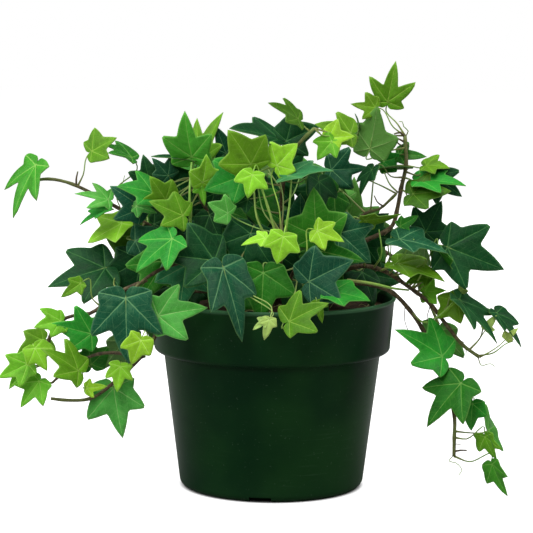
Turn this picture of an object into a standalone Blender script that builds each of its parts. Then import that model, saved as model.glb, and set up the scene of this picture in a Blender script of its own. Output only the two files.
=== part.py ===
"""Potted English ivy: a round nursery pot, its potting mix, rooted vines and lobed leaves.

Metres, +Z up. The origin is the middle of the pot's flat base, and the plant's front is -Y.
Sizes below are in millimetres, and MM turns them into metres.
"""

import math

import bmesh
import bpy
from mathutils import Matrix, Vector
from mathutils.bvhtree import BVHTree

MM = 0.001
UP = Vector((0, 0, 1))

# Pot
RIM_RADIUS = 80.0
POT_HEIGHT = 124.0
COLLAR_HEIGHT = 35.5
COLLAR_FOOT_RADIUS = 76.5
COLLAR_ROUND = 3.0
SHOULDER_RADIUS = 70.2
BASE_RADIUS = 59.3
BASE_ROUND = 5.0
WALL = 1.8
LIP = 2.4
LIP_PROUD = 0.9
DRAIN_COUNT = 4
DRAIN_WIDTH = 14.0
DRAIN_HEIGHT = 3.4
DRAIN_DEPTH = 9.0
DRAIN_ANGLE = 263.0
POT_FACETS = 40

# Potting mix
MIX_CLEARANCE = 0.3
MIX_BELOW_RIM = 8.0
MIX_MOUND = 5.0

# The plan that the plant is laid out on, which planted() fits to the pot
PLAN_RIM = 80.0
PLAN_HEIGHT = 124.0

# Vines
ROOT_CLEARANCE = 0.35
ROOT_RISE = 6.0
VINE_STEP = 12.0
VINE_TAPER = 0.7

# Leaves
BLADE_THICKNESS = 0.8
BLADE_CLEARANCE = 0.4
BLADE_FOLD = 0.20
BLADE_DROOP = 0.16
PETIOLE_RADIUS = 0.8
PETIOLE_CLEARANCE = 0.35
PETIOLE_IN_BLADE = 0.30
INWARD_SLOPE = 0.12
SLIDES = (0, 3, -3, 6, -6, 9, -9, 12, 16, 20, 25)

# Colours, linear
POT_GREEN = (0.010, 0.045, 0.014)
MIX_BROWN = (0.060, 0.036, 0.020)
VINE_BROWN = (0.150, 0.085, 0.030)
LEAF_TONES = {
    "lime": (0.300, 0.560, 0.060),
    "green": (0.100, 0.270, 0.045),
    "dark": (0.022, 0.095, 0.022),
    "slate": (0.036, 0.130, 0.060),
}

# Lobes on one side of a blade, from the midrib outwards: (degrees from the midrib, share of the
# length). Tips and the hollows between them take turns, and the last hollow is the heel.
LOBES = {
    "pointed": ((0, 1.00), (22, 0.45), (45, 0.84), (74, 0.34), (100, 0.44), (140, 0.20)),
    "mature": ((0, 1.00), (24, 0.53), (47, 0.81), (78, 0.42), (103, 0.46), (142, 0.24)),
    "broad": ((0, 1.00), (30, 0.60), (55, 0.80), (87, 0.50), (110, 0.48), (144, 0.28)),
    "folded": ((0, 1.00), (21, 0.50), (40, 0.66), (72, 0.38), (100, 0.38), (140, 0.20)),
    "young": ((0, 1.00), (30, 0.40), (58, 0.55), (90, 0.33), (112, 0.31), (145, 0.18)),
}
LOBE_POINT = 1.4

# Routes: thickness where it leaves the mix, (x, y) of its root, then the points that it follows.
VINES = {
    "left_high": (1.5, (-14, -6), ((-30, -12, 142), (-58, -18, 160), (-88, -20, 176),
                  (-108, -20, 187), (-121, -20, 194), (-131, -20, 198), (-143, -20, 200),
                  (-152, -20, 199))),
    "left_outer": (1.6, (-18, -16), ((-45, -40, 136), (-75, -50, 140), (-98, -56, 131),
                   (-113, -60, 120), (-128, -60, 117), (-135, -60, 112), (-139, -60, 103),
                   (-141, -60, 93), (-144, -60, 87))),
    "left_inner": (1.5, (-10, -22), ((-32, -42, 131), (-53, -53, 132), (-67, -60, 122),
                   (-72, -61, 108), (-78, -60, 97), (-85, -60, 89), (-98, -60, 77),
                   (-114, -60, 66), (-128, -60, 65), (-138, -60, 66))),
    "left_middle": (1.2, None, ((-86, -63, 92), (-91, -65, 95), (-99, -65, 96), (-108, -64, 95),
                    (-118, -62, 91), (-127, -61, 86), (-133, -61, 80), (-137, -60, 76))),
    "upper_left": (1.7, (-8, -4), ((-22, -14, 150), (-36, -24, 172), (-46, -32, 190),
                   (-50, -38, 203))),
    "top": (1.7, (0, 2), ((4, -10, 145), (5, -22, 170), (6, -34, 198), (9, -42, 215),
            (18, -48, 228), (25, -50, 235))),
    "right_high": (1.8, (12, -2), ((35, -8, 148), (60, -16, 162), (76, -20, 172),
                   (79, -20, 183), (81, -20, 195), (84, -20, 210), (83, -20, 229))),
    "right_low": (1.7, (14, -12), ((40, -24, 141), (58, -30, 147), (70, -30, 144),
                  (86, -30, 134), (99, -30, 124), (111, -30, 109), (122, -30, 96),
                  (132, -30, 89))),
    "right_hanging": (1.7, (8, -18), ((36, -33, 134), (60, -34, 136), (76, -30, 130),
                      (87, -30, 119), (97, -31, 104), (104, -38, 88), (111, -46, 70),
                      (115, -50, 53), (115, -50, 41), (115, -50, 29))),
    "front": (1.5, (-4, -22), ((-14, -42, 140), (-22, -58, 150), (-27, -70, 153))),
    "front_right": (1.5, (3, -18), ((10, -40, 138), (14, -54, 148), (16, -64, 151))),
    "front_left": (1.5, (-14, -14), ((-30, -36, 144), (-52, -54, 152), (-70, -66, 148),
                   (-84, -72, 138), (-92, -74, 126))),
    "back_left": (1.6, (-12, 14), ((-34, 36, 142), (-58, 58, 143), (-78, 76, 122),
                  (-92, 88, 98), (-99, 94, 74))),
    "back_right": (1.6, (12, 12), ((36, 34, 146), (62, 56, 151), (88, 74, 136),
                   (105, 84, 114), (115, 90, 92))),
    "back": (1.6, (0, 16), ((-2, 44, 150), (2, 70, 165), (6, 92, 152), (8, 106, 124),
             (6, 112, 94))),
}
BRANCHES = {"left_middle": "left_inner"}

# Leaves: vine, foot of the blade (x, y, z), the side that the blade faces (0 is the front,
# 90 the right), heading of the midrib as seen from that side (90 is up), lean of the tip
# towards that side, roll about the midrib, length of the midrib, form and tone.
LEAVES = {
    "left_tip": ("left_high", (-151, -20, 209), 0, 238, 12, 45, 36, "pointed", "green"),
    "left_lime": ("left_high", (-96, -26, 173), 0, 207, 15, 42, 25, "broad", "lime"),
    "left_big": ("left_outer", (-106, -32, 145), 0, 194, 15, 20, 38, "mature", "dark"),
    "left_low": ("left_outer", (-112, -66, 108), 0, 165, 15, -10, 25, "mature", "green"),
    "left_dark": ("left_middle", (-119, -70, 86), 0, 138, 20, 35, 27, "mature", "green"),
    "left_end": ("left_outer", (-152, -60, 88), 0, 205, 15, 0, 20, "mature", "green"),
    "left_foot": ("left_middle", (-145, -60, 77), 0, 232, 18, 10, 20, "mature", "green"),
    "left_hanging": ("left_inner", (-99, -60, 73), 0, 279, 15, 10, 32, "mature", "green"),
    "front_big": ("front_left", (-90, -78, 132), 0, 270, 12, 15, 40, "mature", "slate"),
    "front_lime": ("front_left", (-70, -84, 122), 0, 14, 10, 0, 30, "mature", "lime"),
    "front_left": ("front_left", (-62, -70, 168), 0, 214, 15, 30, 30, "mature", "green"),
    "front_dark": ("front", (-36, -64, 154), 0, 171, 12, 10, 37, "mature", "dark"),
    "front_hanging": ("front", (-30, -92, 153), 0, 290, 10, -38, 46, "folded", "slate"),
    "front_under": ("front_right", (-6, -84, 149), 0, 268, 12, 0, 30, "broad", "dark"),
    "front_up": ("front_right", (27, -50, 168), 0, 95, 15, 0, 31, "broad", "green"),
    "front_slate": ("front_right", (22, -78, 143), 0, 30, 12, 0, 30, "broad", "slate"),
    "front_rim": ("front_right", (10, -96, 121), 0, 32, 10, -20, 26, "mature", "lime"),
    "crown_left": ("upper_left", (-51, -42, 216), 0, 103, 20, -25, 30, "mature", "green"),
    "crown_left_rear": ("upper_left", (-46, -30, 214), 0, 72, 15, -45, 34, "pointed", "green"),
    "crown_big": ("top", (4, -30, 227), 0, 160, 15, 58, 33, "broad", "dark"),
    "crown_front": ("top", (-14, -56, 213), 0, 120, 15, 0, 26, "broad", "green"),
    "crown_slate": ("top", (9, -58, 206), 0, 16, 12, -58, 28, "broad", "slate"),
    "crown_top": ("top", (15, -50, 241), 0, 143, 25, 45, 22, "mature", "green"),
    "peak": ("right_high", (72, -16, 250), 0, 80, 10, 0, 26, "pointed", "green"),
    "right_upright": ("right_high", (61, -26, 221), 0, 78, 5, 150, 28, "broad", "green"),
    "right_side": ("right_high", (93, -22, 201), 0, 4, 15, -50, 29, "mature", "green"),
    "right_big": ("right_low", (110, -36, 160), 0, -20, 12, 0, 38, "mature", "dark"),
    "right_inner": ("right_low", (79, -40, 150), 0, -10, 15, -56, 31, "broad", "green"),
    "right_slate": ("right_low", (118, -38, 127), 0, -40, 12, -60, 36, "mature", "dark"),
    "right_end": ("right_low", (143, -26, 117), 0, -48, 18, -50, 27, "folded", "green"),
    "hanging_high": ("right_hanging", (107, -46, 92), 0, 142, 15, 20, 34, "mature", "dark"),
    "hanging_big": ("right_hanging", (118, -58, 77), 0, 225, 12, 30, 34, "mature", "dark"),
    "hanging_edge": ("right_hanging", (137, -50, 46), 68, 0, 0, 0, 24, "broad", "slate"),
    "hanging_tip": ("right_hanging", (139, -50, 24), 0, 290, 15, 55, 22, "folded", "green"),
    "back_left_high": ("back_left", (-72, 70, 156), 215, 60, 15, 0, 36, "mature", "dark"),
    "back_left_side": ("back_left", (-92, 82, 124), 235, 200, 15, 0, 36, "mature", "green"),
    "back_left_low": ("back_left", (-102, 96, 78), 215, 262, 12, 0, 32, "mature", "slate"),
    "back_right_high": ("back_right", (50, 58, 160), 150, 98, 15, 0, 36, "mature", "green"),
    "back_right_side": ("back_right", (104, 78, 134), 130, 10, 15, 0, 36, "broad", "dark"),
    "back_right_low": ("back_right", (116, 92, 88), 145, 275, 12, 0, 32, "mature", "green"),
    "back_high": ("back", (-6, 72, 182), 180, 80, 15, 0, 36, "broad", "dark"),
    "back_side": ("back", (22, 100, 146), 170, 200, 15, 0, 34, "mature", "slate"),
    "back_low": ("back", (4, 115, 100), 180, 272, 12, 0, 36, "mature", "green"),
}


def clear_scene():
    for item in list(bpy.data.objects):
        bpy.data.objects.remove(item)


def new_collection(name):
    group = bpy.data.collections.new(name)
    bpy.context.scene.collection.children.link(group)
    return group


def plain_material(name, colour, roughness):
    material = bpy.data.materials.new(name)
    material.use_nodes = True
    shader = material.node_tree.nodes["Principled BSDF"]
    shader.inputs["Base Color"].default_value = (*colour, 1)
    shader.inputs["Roughness"].default_value = roughness
    shader.inputs["Metallic"].default_value = 0
    return material


def as_object(name, mesh, group, material=None):
    item = bpy.data.objects.new(name, mesh)
    group.objects.link(item)
    if material:
        mesh.materials.append(material)
    return item


def as_helper(item):
    item.hide_render = True
    item.display_type = "WIRE"


def turned(name, profile, group, material):
    """A solid of revolution from (radius, height) points that start and end on the axis."""
    mesh = bpy.data.meshes.new(name)
    form = bmesh.new()
    points = [form.verts.new((radius * MM, 0, height * MM)) for radius, height in profile]
    for first, second in zip(points, points[1:]):
        form.edges.new((first, second))
    form.to_mesh(mesh)
    form.free()
    item = as_object(name, mesh, group, material)
    screw = item.modifiers.new("Turn", "SCREW")
    screw.steps = POT_FACETS
    screw.render_steps = POT_FACETS
    screw.use_merge_vertices = True
    screw.merge_threshold = 0.00005
    screw.use_smooth_shade = True
    return item


def arc(centre, radius, start, end, steps):
    """Points of an arc about (radius, height) centre, from angle start to end in degrees."""
    turns = [math.radians(start + (end - start) * step / steps) for step in range(steps + 1)]
    return [(centre[0] + radius * math.cos(t), centre[1] + radius * math.sin(t)) for t in turns]


def body_radius(height):
    share = height / (POT_HEIGHT - COLLAR_HEIGHT)
    return BASE_RADIUS + (SHOULDER_RADIUS - BASE_RADIUS) * share


def collar_inside(height):
    """Inner radius of the collar, which widens evenly up to the lip."""
    foot = POT_HEIGHT - COLLAR_HEIGHT + WALL
    share = (height - foot) / (POT_HEIGHT - LIP / 2 - foot)
    low = COLLAR_FOOT_RADIUS - WALL
    return low + (RIM_RADIUS - LIP - low) * share


def mix_height(x, y):
    """Height of the mounded potting mix at a place in the pot."""
    edge = POT_HEIGHT - MIX_BELOW_RIM
    share = min(1.0, math.hypot(x, y) / collar_inside(edge))
    return edge + MIX_MOUND * (1 - share * share)


def planted(place):
    """A place on the plant's plan, spread with the pot's rim and lifted with its height."""
    spread = RIM_RADIUS / PLAN_RIM
    return Vector((place[0] * spread, place[1] * spread, place[2] + POT_HEIGHT - PLAN_HEIGHT))


def make_pot(group, helpers):
    step = POT_HEIGHT - COLLAR_HEIGHT
    lip = LIP / 2
    inside = [
        (0, WALL),
        (BASE_RADIUS - BASE_ROUND, WALL),
        (body_radius(BASE_ROUND) - WALL, BASE_ROUND),
        (SHOULDER_RADIUS - WALL, step + WALL),
        (COLLAR_FOOT_RADIUS - WALL, step + WALL),
    ]
    rim = arc((RIM_RADIUS - lip, POT_HEIGHT - lip), lip, 180, -60, 6)
    collar = [(RIM_RADIUS - LIP_PROUD, POT_HEIGHT - LIP)]
    corner = (COLLAR_FOOT_RADIUS - COLLAR_ROUND, step + COLLAR_ROUND)
    collar += arc(corner, COLLAR_ROUND, 0, -90, 3)
    body = [(SHOULDER_RADIUS, step)]
    body += arc((body_radius(BASE_ROUND) - BASE_ROUND, BASE_ROUND), BASE_ROUND, 0, -90, 4)
    material = plain_material("pot_green_plastic", POT_GREEN, 0.42)
    pot = turned("nursery_pot", inside + rim + collar + body + [(0, 0)], group, material)
    for number in range(DRAIN_COUNT):
        cut_drain(pot, number, helpers)
    return pot


def cut_drain(pot, number, helpers):
    """One of the drain slots that notch the pot's bottom corner."""
    mesh = bpy.data.meshes.new(f"drain_{number}")
    form = bmesh.new()
    size = Matrix.Diagonal((2 * DRAIN_DEPTH * MM, DRAIN_WIDTH * MM, 2 * DRAIN_HEIGHT * MM, 1))
    bmesh.ops.create_cube(form, size=1, matrix=size)
    form.to_mesh(mesh)
    form.free()
    turn = math.radians(DRAIN_ANGLE + 360 * number / DRAIN_COUNT)
    cutter = as_object(f"drain_{number}", mesh, helpers)
    cutter.location = (BASE_RADIUS * MM * math.cos(turn), BASE_RADIUS * MM * math.sin(turn), 0)
    cutter.rotation_euler = (0, 0, turn)
    as_helper(cutter)
    cut = pot.modifiers.new(f"Drain {number}", "BOOLEAN")
    cut.operation = "DIFFERENCE"
    cut.object = cutter


def make_mix(group):
    edge = POT_HEIGHT - MIX_BELOW_RIM
    step = POT_HEIGHT - COLLAR_HEIGHT
    rim = collar_inside(edge) - MIX_CLEARANCE
    mound = [(rim * share, mix_height(rim * share, 0)) for share in (0, 0.3, 0.55, 0.75, 0.9, 1)]
    sides = [
        (COLLAR_FOOT_RADIUS - WALL - MIX_CLEARANCE, step + WALL + MIX_CLEARANCE),
        (SHOULDER_RADIUS - WALL - MIX_CLEARANCE, step + WALL + MIX_CLEARANCE),
        (body_radius(BASE_ROUND) - WALL - MIX_CLEARANCE, BASE_ROUND),
        (BASE_RADIUS - BASE_ROUND - MIX_CLEARANCE, WALL + MIX_CLEARANCE),
        (0, WALL + MIX_CLEARANCE),
    ]
    material = plain_material("potting_mix", MIX_BROWN, 0.95)
    return turned("potting_mix", mound + sides, group, material)


def smooth_route(points, spacing):
    """Points read every spacing or so from a smooth curve through the given points."""
    gaps = [(after - before).length for before, after in zip(points, points[1:])]
    slopes = [(points[1] - points[0]) / gaps[0]]
    for index in range(1, len(points) - 1):
        before = (points[index] - points[index - 1]) / gaps[index - 1]
        after = (points[index + 1] - points[index]) / gaps[index]
        total = gaps[index - 1] + gaps[index]
        slopes.append((before * gaps[index] + after * gaps[index - 1]) / total)
    slopes.append((points[-1] - points[-2]) / gaps[-1])
    route = [points[0]]
    for index, gap in enumerate(gaps):
        steps = max(1, round(gap / spacing))
        for step in range(1, steps + 1):
            t = step / steps
            start = points[index] * (2 * t**3 - 3 * t**2 + 1) + slopes[index] * gap * (
                t**3 - 2 * t**2 + t
            )
            end = points[index + 1] * (3 * t**2 - 2 * t**3) + slopes[index + 1] * gap * (
                t**3 - t**2
            )
            route.append(start + end)
    return route


def tube_mesh(name, route, radii, sides_level):
    """A closed tube along a route in millimetres, made from a bevelled curve."""
    curve = bpy.data.curves.new(name, "CURVE")
    curve.dimensions = "3D"
    curve.bevel_depth = MM
    curve.bevel_resolution = sides_level
    curve.use_fill_caps = True
    spline = curve.splines.new("POLY")
    spline.points.add(len(route) - 1)
    for point, place, radius in zip(spline.points, route, radii):
        point.co = (*(place * MM), 1)
        point.radius = radius
    guide = bpy.data.objects.new(name, curve)
    bpy.context.scene.collection.objects.link(guide)
    evaluated = guide.evaluated_get(bpy.context.evaluated_depsgraph_get())
    mesh = bpy.data.meshes.new_from_object(evaluated)
    bpy.data.objects.remove(guide)
    bpy.data.curves.remove(curve)
    form = bmesh.new()
    form.from_mesh(mesh)
    bmesh.ops.remove_doubles(form, verts=form.verts, dist=0.01 * MM)
    bmesh.ops.recalc_face_normals(form, faces=form.faces)
    form.to_mesh(mesh)
    form.free()
    mesh.name = name
    return mesh


def vine_routes():
    """Each vine's route and its radius at every point, in millimetres."""
    routes = {}
    for name, (thickness, root, points) in VINES.items():
        places = [planted(point) for point in points]
        if root:
            foot = planted((*root, 0))
            foot.z = mix_height(foot.x, foot.y) + ROOT_CLEARANCE
            places = [foot, foot + UP * ROOT_RISE, *places]
        else:
            parent, radii = routes[BRANCHES[name]]
            seat, radius = nearest_on_vine(parent, radii, places[0])
            out = (places[0] - seat).normalized()
            places[0] = seat + out * (radius + PETIOLE_CLEARANCE)
        route = smooth_route(places, VINE_STEP)
        last = len(route) - 1
        radii = [thickness * (1 - (1 - VINE_TAPER) * n / last) for n in range(last + 1)]
        routes[name] = (route, radii)
    return routes


def nearest_on_vine(route, radii, place):
    """The nearest point of a vine's centre line to a place, at least its radius short of the
    vine's end, and the radius there."""
    best = None
    last = len(route) - 1
    for index in range(1, last + 1):
        start, end = route[index - 1], route[index]
        run = end - start
        most = 1 - radii[index] / run.length if index == last else 1.0
        share = min(most, max(0.0, (place - start).dot(run) / run.length_squared))
        seat = start + run * share
        gap = (place - seat).length
        if best is None or gap < best[0]:
            best = (gap, seat, radii[index])
    return best[1], best[2]


def make_vines(group, routes):
    material = plain_material("vine_bark", VINE_BROWN, 0.7)
    for name, (route, radii) in routes.items():
        mesh = tube_mesh(f"vine_{name}", route, radii, 1)
        as_object(f"vine_{name}", mesh, group, material)


def outline(form, length):
    """Corner points of a blade about its foot: one side from the tip round to the heel, the
    foot, and the other side back."""
    lobes = LOBES[form]
    side = [lobes[0]]
    for start, end in zip(lobes, lobes[1:]):
        tip, hollow = (start, end) if start[1] > end[1] else (end, start)
        if tip[0] == 0:
            half = 0.5**LOBE_POINT
            side.append(((tip[0] + hollow[0]) / 2, hollow[1] + (tip[1] - hollow[1]) * half))
        side.append(end)
    places = [(math.radians(angle), reach * length) for angle, reach in side]
    left = [Vector((reach * math.cos(t), reach * math.sin(t))) for t, reach in places]
    right = [Vector((point.x, -point.y)) for point in reversed(left[1:])]
    return [*left, Vector((0, 0)), *right]


def blade_height(along, across, length):
    """How far the blade stands off its flat plane: folded up at the midrib, drooping out."""
    droop = BLADE_DROOP * (along * abs(along) + across * across) / length
    return BLADE_FOLD * abs(across) - droop


def blade_mesh(name, form_name, length, place):
    """The open sheet of a blade, from its outline, with one ring of points inside it."""
    form = bmesh.new()
    corners = [form.verts.new((*point, 0)) for point in outline(form_name, length)]
    face = form.faces.new(corners)
    middle = bmesh.ops.poke(form, faces=[face])["verts"][0]
    bmesh.ops.subdivide_edges(form, edges=list(middle.link_edges), cuts=1)
    bmesh.ops.triangulate(form, faces=form.faces)
    for point in form.verts:
        point.co.z = blade_height(point.co.x, point.co.y, length)
        point.co = (place @ point.co) * MM
    mesh = bpy.data.meshes.new(name)
    form.to_mesh(mesh)
    form.free()
    return mesh


def blade_place(foot, facing, heading, lean, roll):
    """Turns a blade's own axes (midrib, side, upper face) to its place on the plant."""
    facing, heading, lean, roll = (math.radians(a) for a in (facing, heading, lean, roll))
    across = Vector((math.cos(facing), math.sin(facing), 0))
    outward = Vector((math.sin(facing), -math.cos(facing), 0))
    rib = (across * math.cos(heading) + UP * math.sin(heading)) * math.cos(lean)
    rib += outward * math.sin(lean)
    light = outward * 0.94 + UP * 0.34
    normal = (light - rib * light.dot(rib)).normalized()
    normal = Matrix.Rotation(roll, 3, rib) @ normal
    side = normal.cross(rib)
    turn = Matrix((rib, side, normal)).transposed()
    return Matrix.Translation(foot) @ turn.to_4x4()


def petiole_route(place, length, route, radii):
    """From beside the vine, out and round to the blade's foot, and on along its midrib."""
    foot = place.translation.copy()
    rib = place.col[0].to_3d()
    normal = place.col[2].to_3d()
    seat, radius = nearest_on_vine(route, radii, foot)
    out = (foot - seat).normalized()
    start = seat + out * (radius + PETIOLE_CLEARANCE)
    reach = (foot - start).length
    inner = PETIOLE_IN_BLADE * length
    run = [start, start + out * reach * 0.35, foot - rib * reach * 0.25 - normal * reach * 0.05]
    run += [foot, place @ Vector((inner, 0, blade_height(inner, 0, length)))]
    return run


def thick_tree(mesh, thickness):
    """A search tree of a blade's sheet thickened by its clearance."""
    form = bmesh.new()
    form.from_mesh(mesh)
    for point in form.verts:
        point.co -= point.normal * thickness / 2
    bmesh.ops.solidify(form, geom=form.faces[:], thickness=-thickness)
    tree = BVHTree.FromBMesh(form)
    form.free()
    return tree


def mesh_tree(mesh):
    form = bmesh.new()
    form.from_mesh(mesh)
    tree = BVHTree.FromBMesh(form)
    form.free()
    return tree


def evaluated_tree(item):
    graph = bpy.context.evaluated_depsgraph_get()
    return BVHTree.FromObject(item, graph)


def is_clear(trees, placed):
    return not any(tree.overlap(other) for tree in trees for other in placed)


def leaf_at(name, row, slide, routes, vine):
    """The sheet and the petiole of a leaf that is slid inwards from its own place."""
    _, foot, facing, heading, lean, roll, length, form, _ = row
    inward = Vector((-math.sin(math.radians(facing)), math.cos(math.radians(facing)), 0))
    spot = planted(foot) + (inward - UP * INWARD_SLOPE) * slide
    place = blade_place(spot, facing, heading, lean, roll)
    blade = blade_mesh(name, form, length, place)
    run = petiole_route(place, length, *routes[vine])
    stalk = tube_mesh(f"petiole_{name}", run, [PETIOLE_RADIUS] * len(run), 0)
    return blade, stalk


def make_leaf(name, row, routes, placed, group, helpers):
    """Puts a leaf at the first place, from its own inwards, that is clear of what is there."""
    foot = planted(row[1])
    gaps = {v: (foot - nearest_on_vine(*routes[v], foot)[0]).length for v in routes}
    others = sorted((vine for vine in routes if vine != row[0]), key=gaps.get)
    choices = [(slide, vine) for vine in (row[0], *others) for slide in SLIDES]
    for slide, vine in choices:
        blade, stalk = leaf_at(name, row, slide, routes, vine)
        trees = [
            thick_tree(blade, (BLADE_THICKNESS + 2 * BLADE_CLEARANCE) * MM),
            mesh_tree(stalk),
        ]
        if is_clear(trees, placed):
            break
        bpy.data.meshes.remove(blade)
        bpy.data.meshes.remove(stalk)
    else:
        raise ValueError(f"leaf {name} has no clear place")
    leaf = as_object(f"leaf_{name}", blade, group)
    blade.materials.append(bpy.data.materials[f"leaf_{row[-1]}"])
    shell = leaf.modifiers.new("Thickness", "SOLIDIFY")
    shell.thickness = BLADE_THICKNESS * MM
    shell.offset = 0
    cutter = as_object(f"petiole_{name}", stalk, helpers)
    as_helper(cutter)
    join = leaf.modifiers.new("Petiole", "BOOLEAN")
    join.operation = "UNION"
    join.object = cutter
    placed.extend([thick_tree(blade, BLADE_THICKNESS * MM), mesh_tree(stalk)])
    return slide, vine


def main():
    clear_scene()
    group = new_collection("potted_ivy")
    helpers = new_collection("helpers")
    pot = make_pot(group, helpers)
    mix = make_mix(group)
    routes = vine_routes()
    make_vines(group, routes)
    for tone, colour in LEAF_TONES.items():
        plain_material(f"leaf_{tone}", colour, 0.4)
    bpy.context.view_layer.update()
    placed = [evaluated_tree(item) for item in group.objects]
    for name, row in LEAVES.items():
        slide, vine = make_leaf(name, row, routes, placed, group, helpers)
        if slide or vine != row[0]:
            print(f"leaf {name}: slid {slide} mm, on vine {vine}")
    print(f"{len(group.objects)} parts")


main()
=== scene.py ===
# %% [markdown]
# # A potted English ivy
# This lesson dresses a plain model of an ivy in a nursery pot. The plain model, the frame, has
# the pot, the potting mix, the vines and the larger leaves at their real size. Each of them gets
# a finer mesh here, and the small leaves, buds and rootlets are added around them.
#
# The frame comes first, because every place below is measured from it.

# %% Load the frame
import math
import random

import bmesh
import bpy
from mathutils import Matrix, Vector, noise
from mathutils.bvhtree import BVHTree


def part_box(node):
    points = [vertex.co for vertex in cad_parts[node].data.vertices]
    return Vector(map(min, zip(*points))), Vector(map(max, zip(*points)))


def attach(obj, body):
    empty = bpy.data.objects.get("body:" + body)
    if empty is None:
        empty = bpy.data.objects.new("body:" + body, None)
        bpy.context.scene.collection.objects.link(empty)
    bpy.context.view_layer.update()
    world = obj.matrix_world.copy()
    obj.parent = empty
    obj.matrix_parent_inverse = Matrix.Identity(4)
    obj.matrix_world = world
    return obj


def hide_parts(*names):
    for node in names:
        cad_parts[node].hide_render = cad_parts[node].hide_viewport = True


MM = 0.001
UP = Vector((0, 0, 1))
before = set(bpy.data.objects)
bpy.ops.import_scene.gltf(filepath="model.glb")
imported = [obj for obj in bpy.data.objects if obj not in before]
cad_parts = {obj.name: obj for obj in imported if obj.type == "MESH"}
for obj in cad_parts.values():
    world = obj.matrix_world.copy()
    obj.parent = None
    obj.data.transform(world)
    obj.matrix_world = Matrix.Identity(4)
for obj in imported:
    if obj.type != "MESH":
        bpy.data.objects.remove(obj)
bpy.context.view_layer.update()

# %% [markdown]
# ## Writing materials as sums
# A finish is a web of nodes, and dragging noodles in code is hard to read. Here a small class
# wraps a socket, so that `1 - veins * 0.5` adds the two Math nodes that it needs. Another class
# holds one finish: its node tree, and its Principled shader.

# %% Shader maths


class Value:
    """A node's output that takes part in Python sums."""

    def __init__(self, finish, socket):
        self.finish = finish
        self.socket = socket

    def maths(self, operation, *values):
        return self.finish.node("ShaderNodeMath", {"operation": operation}, values)

    def __add__(self, other):
        return self.maths("ADD", self, other)

    __radd__ = __add__

    def __sub__(self, other):
        return self.maths("SUBTRACT", self, other)

    def __rsub__(self, other):
        return self.maths("SUBTRACT", other, self)

    def __mul__(self, other):
        return self.maths("MULTIPLY", self, other)

    __rmul__ = __mul__

    def __truediv__(self, other):
        return self.maths("DIVIDE", self, other)

    def __abs__(self):
        return self.maths("ABSOLUTE", self)

    def fraction(self):
        return self.maths("FRACT", self)

    def highest(self, other):
        return self.maths("MAXIMUM", self, other)

    def lowest(self, other):
        return self.maths("MINIMUM", self, other)

    def step_down(self, start, end):
        """1 below start, 0 above end, and an even slope between them."""
        settings = {"interpolation_type": "SMOOTHSTEP"}
        inputs = {"Value": self, "From Min": start, "From Max": end, "To Min": 1.0, "To Max": 0.0}
        return self.finish.node("ShaderNodeMapRange", settings, inputs)

    def step_up(self, start, end):
        return 1 - self.step_down(start, end)


class Finish:
    """A material being mixed: its nodes, and the Principled shader that they feed."""

    def __init__(self, name, **constants):
        self.material = bpy.data.materials.new(name)
        self.material.use_nodes = True
        self.nodes = self.material.node_tree.nodes
        self.links = self.material.node_tree.links
        self.shader = self.nodes["Principled BSDF"]
        for socket, value in constants.items():
            self.shader.inputs[socket.replace("_", " ")].default_value = value

    def plug(self, socket, value):
        if isinstance(value, Value):
            self.links.new(value.socket, socket)
        elif value is not None:
            socket.default_value = value

    def node(self, kind, settings=None, inputs=(), output=0):
        node = self.nodes.new(kind)
        for name, value in (settings or {}).items():
            if name == "stops":
                self.fill_ramp(node.color_ramp, value)
            else:
                setattr(node, name, value)
        pairs = inputs.items() if isinstance(inputs, dict) else enumerate(inputs)
        for name, value in pairs:
            self.plug(node.inputs[name], value)
        return Value(self, node.outputs[output])

    @staticmethod
    def fill_ramp(ramp, stops):
        while len(ramp.elements) < len(stops):
            ramp.elements.new(1.0)
        for element, (place, colour) in zip(ramp.elements, stops):
            element.position = place
            element.color = (*colour, 1)

    def place(self):
        return self.node("ShaderNodeTexCoord", output="Object")

    def noise(self, scale, detail, vector, roughness=0.5):
        inputs = {"Vector": vector, "Scale": scale, "Detail": detail, "Roughness": roughness}
        return self.node("ShaderNodeTexNoise", {}, inputs)

    def blend(self, factor, first, second):
        """One colour turning into another as factor goes from 0 to 1."""
        settings = {"data_type": "RGBA"}
        first = (*first, 1) if isinstance(first, tuple) else first
        second = (*second, 1) if isinstance(second, tuple) else second
        return self.node("ShaderNodeMix", settings, {0: factor, 6: first, 7: second}, output=2)

    def tint(self, colour, strength):
        """A colour times a plain number."""
        scaled = {0: colour, "Scale": strength}
        return self.node("ShaderNodeVectorMath", {"operation": "SCALE"}, scaled)

    def read(self, attribute, output="Fac"):
        return self.node("ShaderNodeAttribute", {"attribute_name": attribute}, output=output)

    def colour(self, value):
        self.plug(self.shader.inputs["Base Color"], value)

    def roughness(self, value):
        self.plug(self.shader.inputs["Roughness"], value)

    def bump(self, height, distance, strength=1.0):
        inputs = {"Strength": strength, "Distance": distance, "Height": height}
        self.plug(self.shader.inputs["Normal"], self.node("ShaderNodeBump", {}, inputs))


# %% [markdown]
# ## Camera, floor and light
# The camera stands some way off with a long lens, so that the pot's sides stay nearly parallel.
# The floor and the air around are white, and the light is broad: one large panel above, one at
# each side, and a weak one in front. A shiny dark pot mirrors whatever stands before it, so the
# front stays dim and the sides draw two soft bright edges. The panel behind lights the far
# leaves, and isn't mirrored, or the near ones would glare at their edges.

# %% Camera
CAMERA_PLACE = Vector((-0.004, -1.400, 0.3154))
CAMERA_TILT = math.radians(90 - 7.04)
CAMERA_ROLL = math.radians(0.39)
LENS = 147.3
SENSOR_WIDTH = 36


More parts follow.
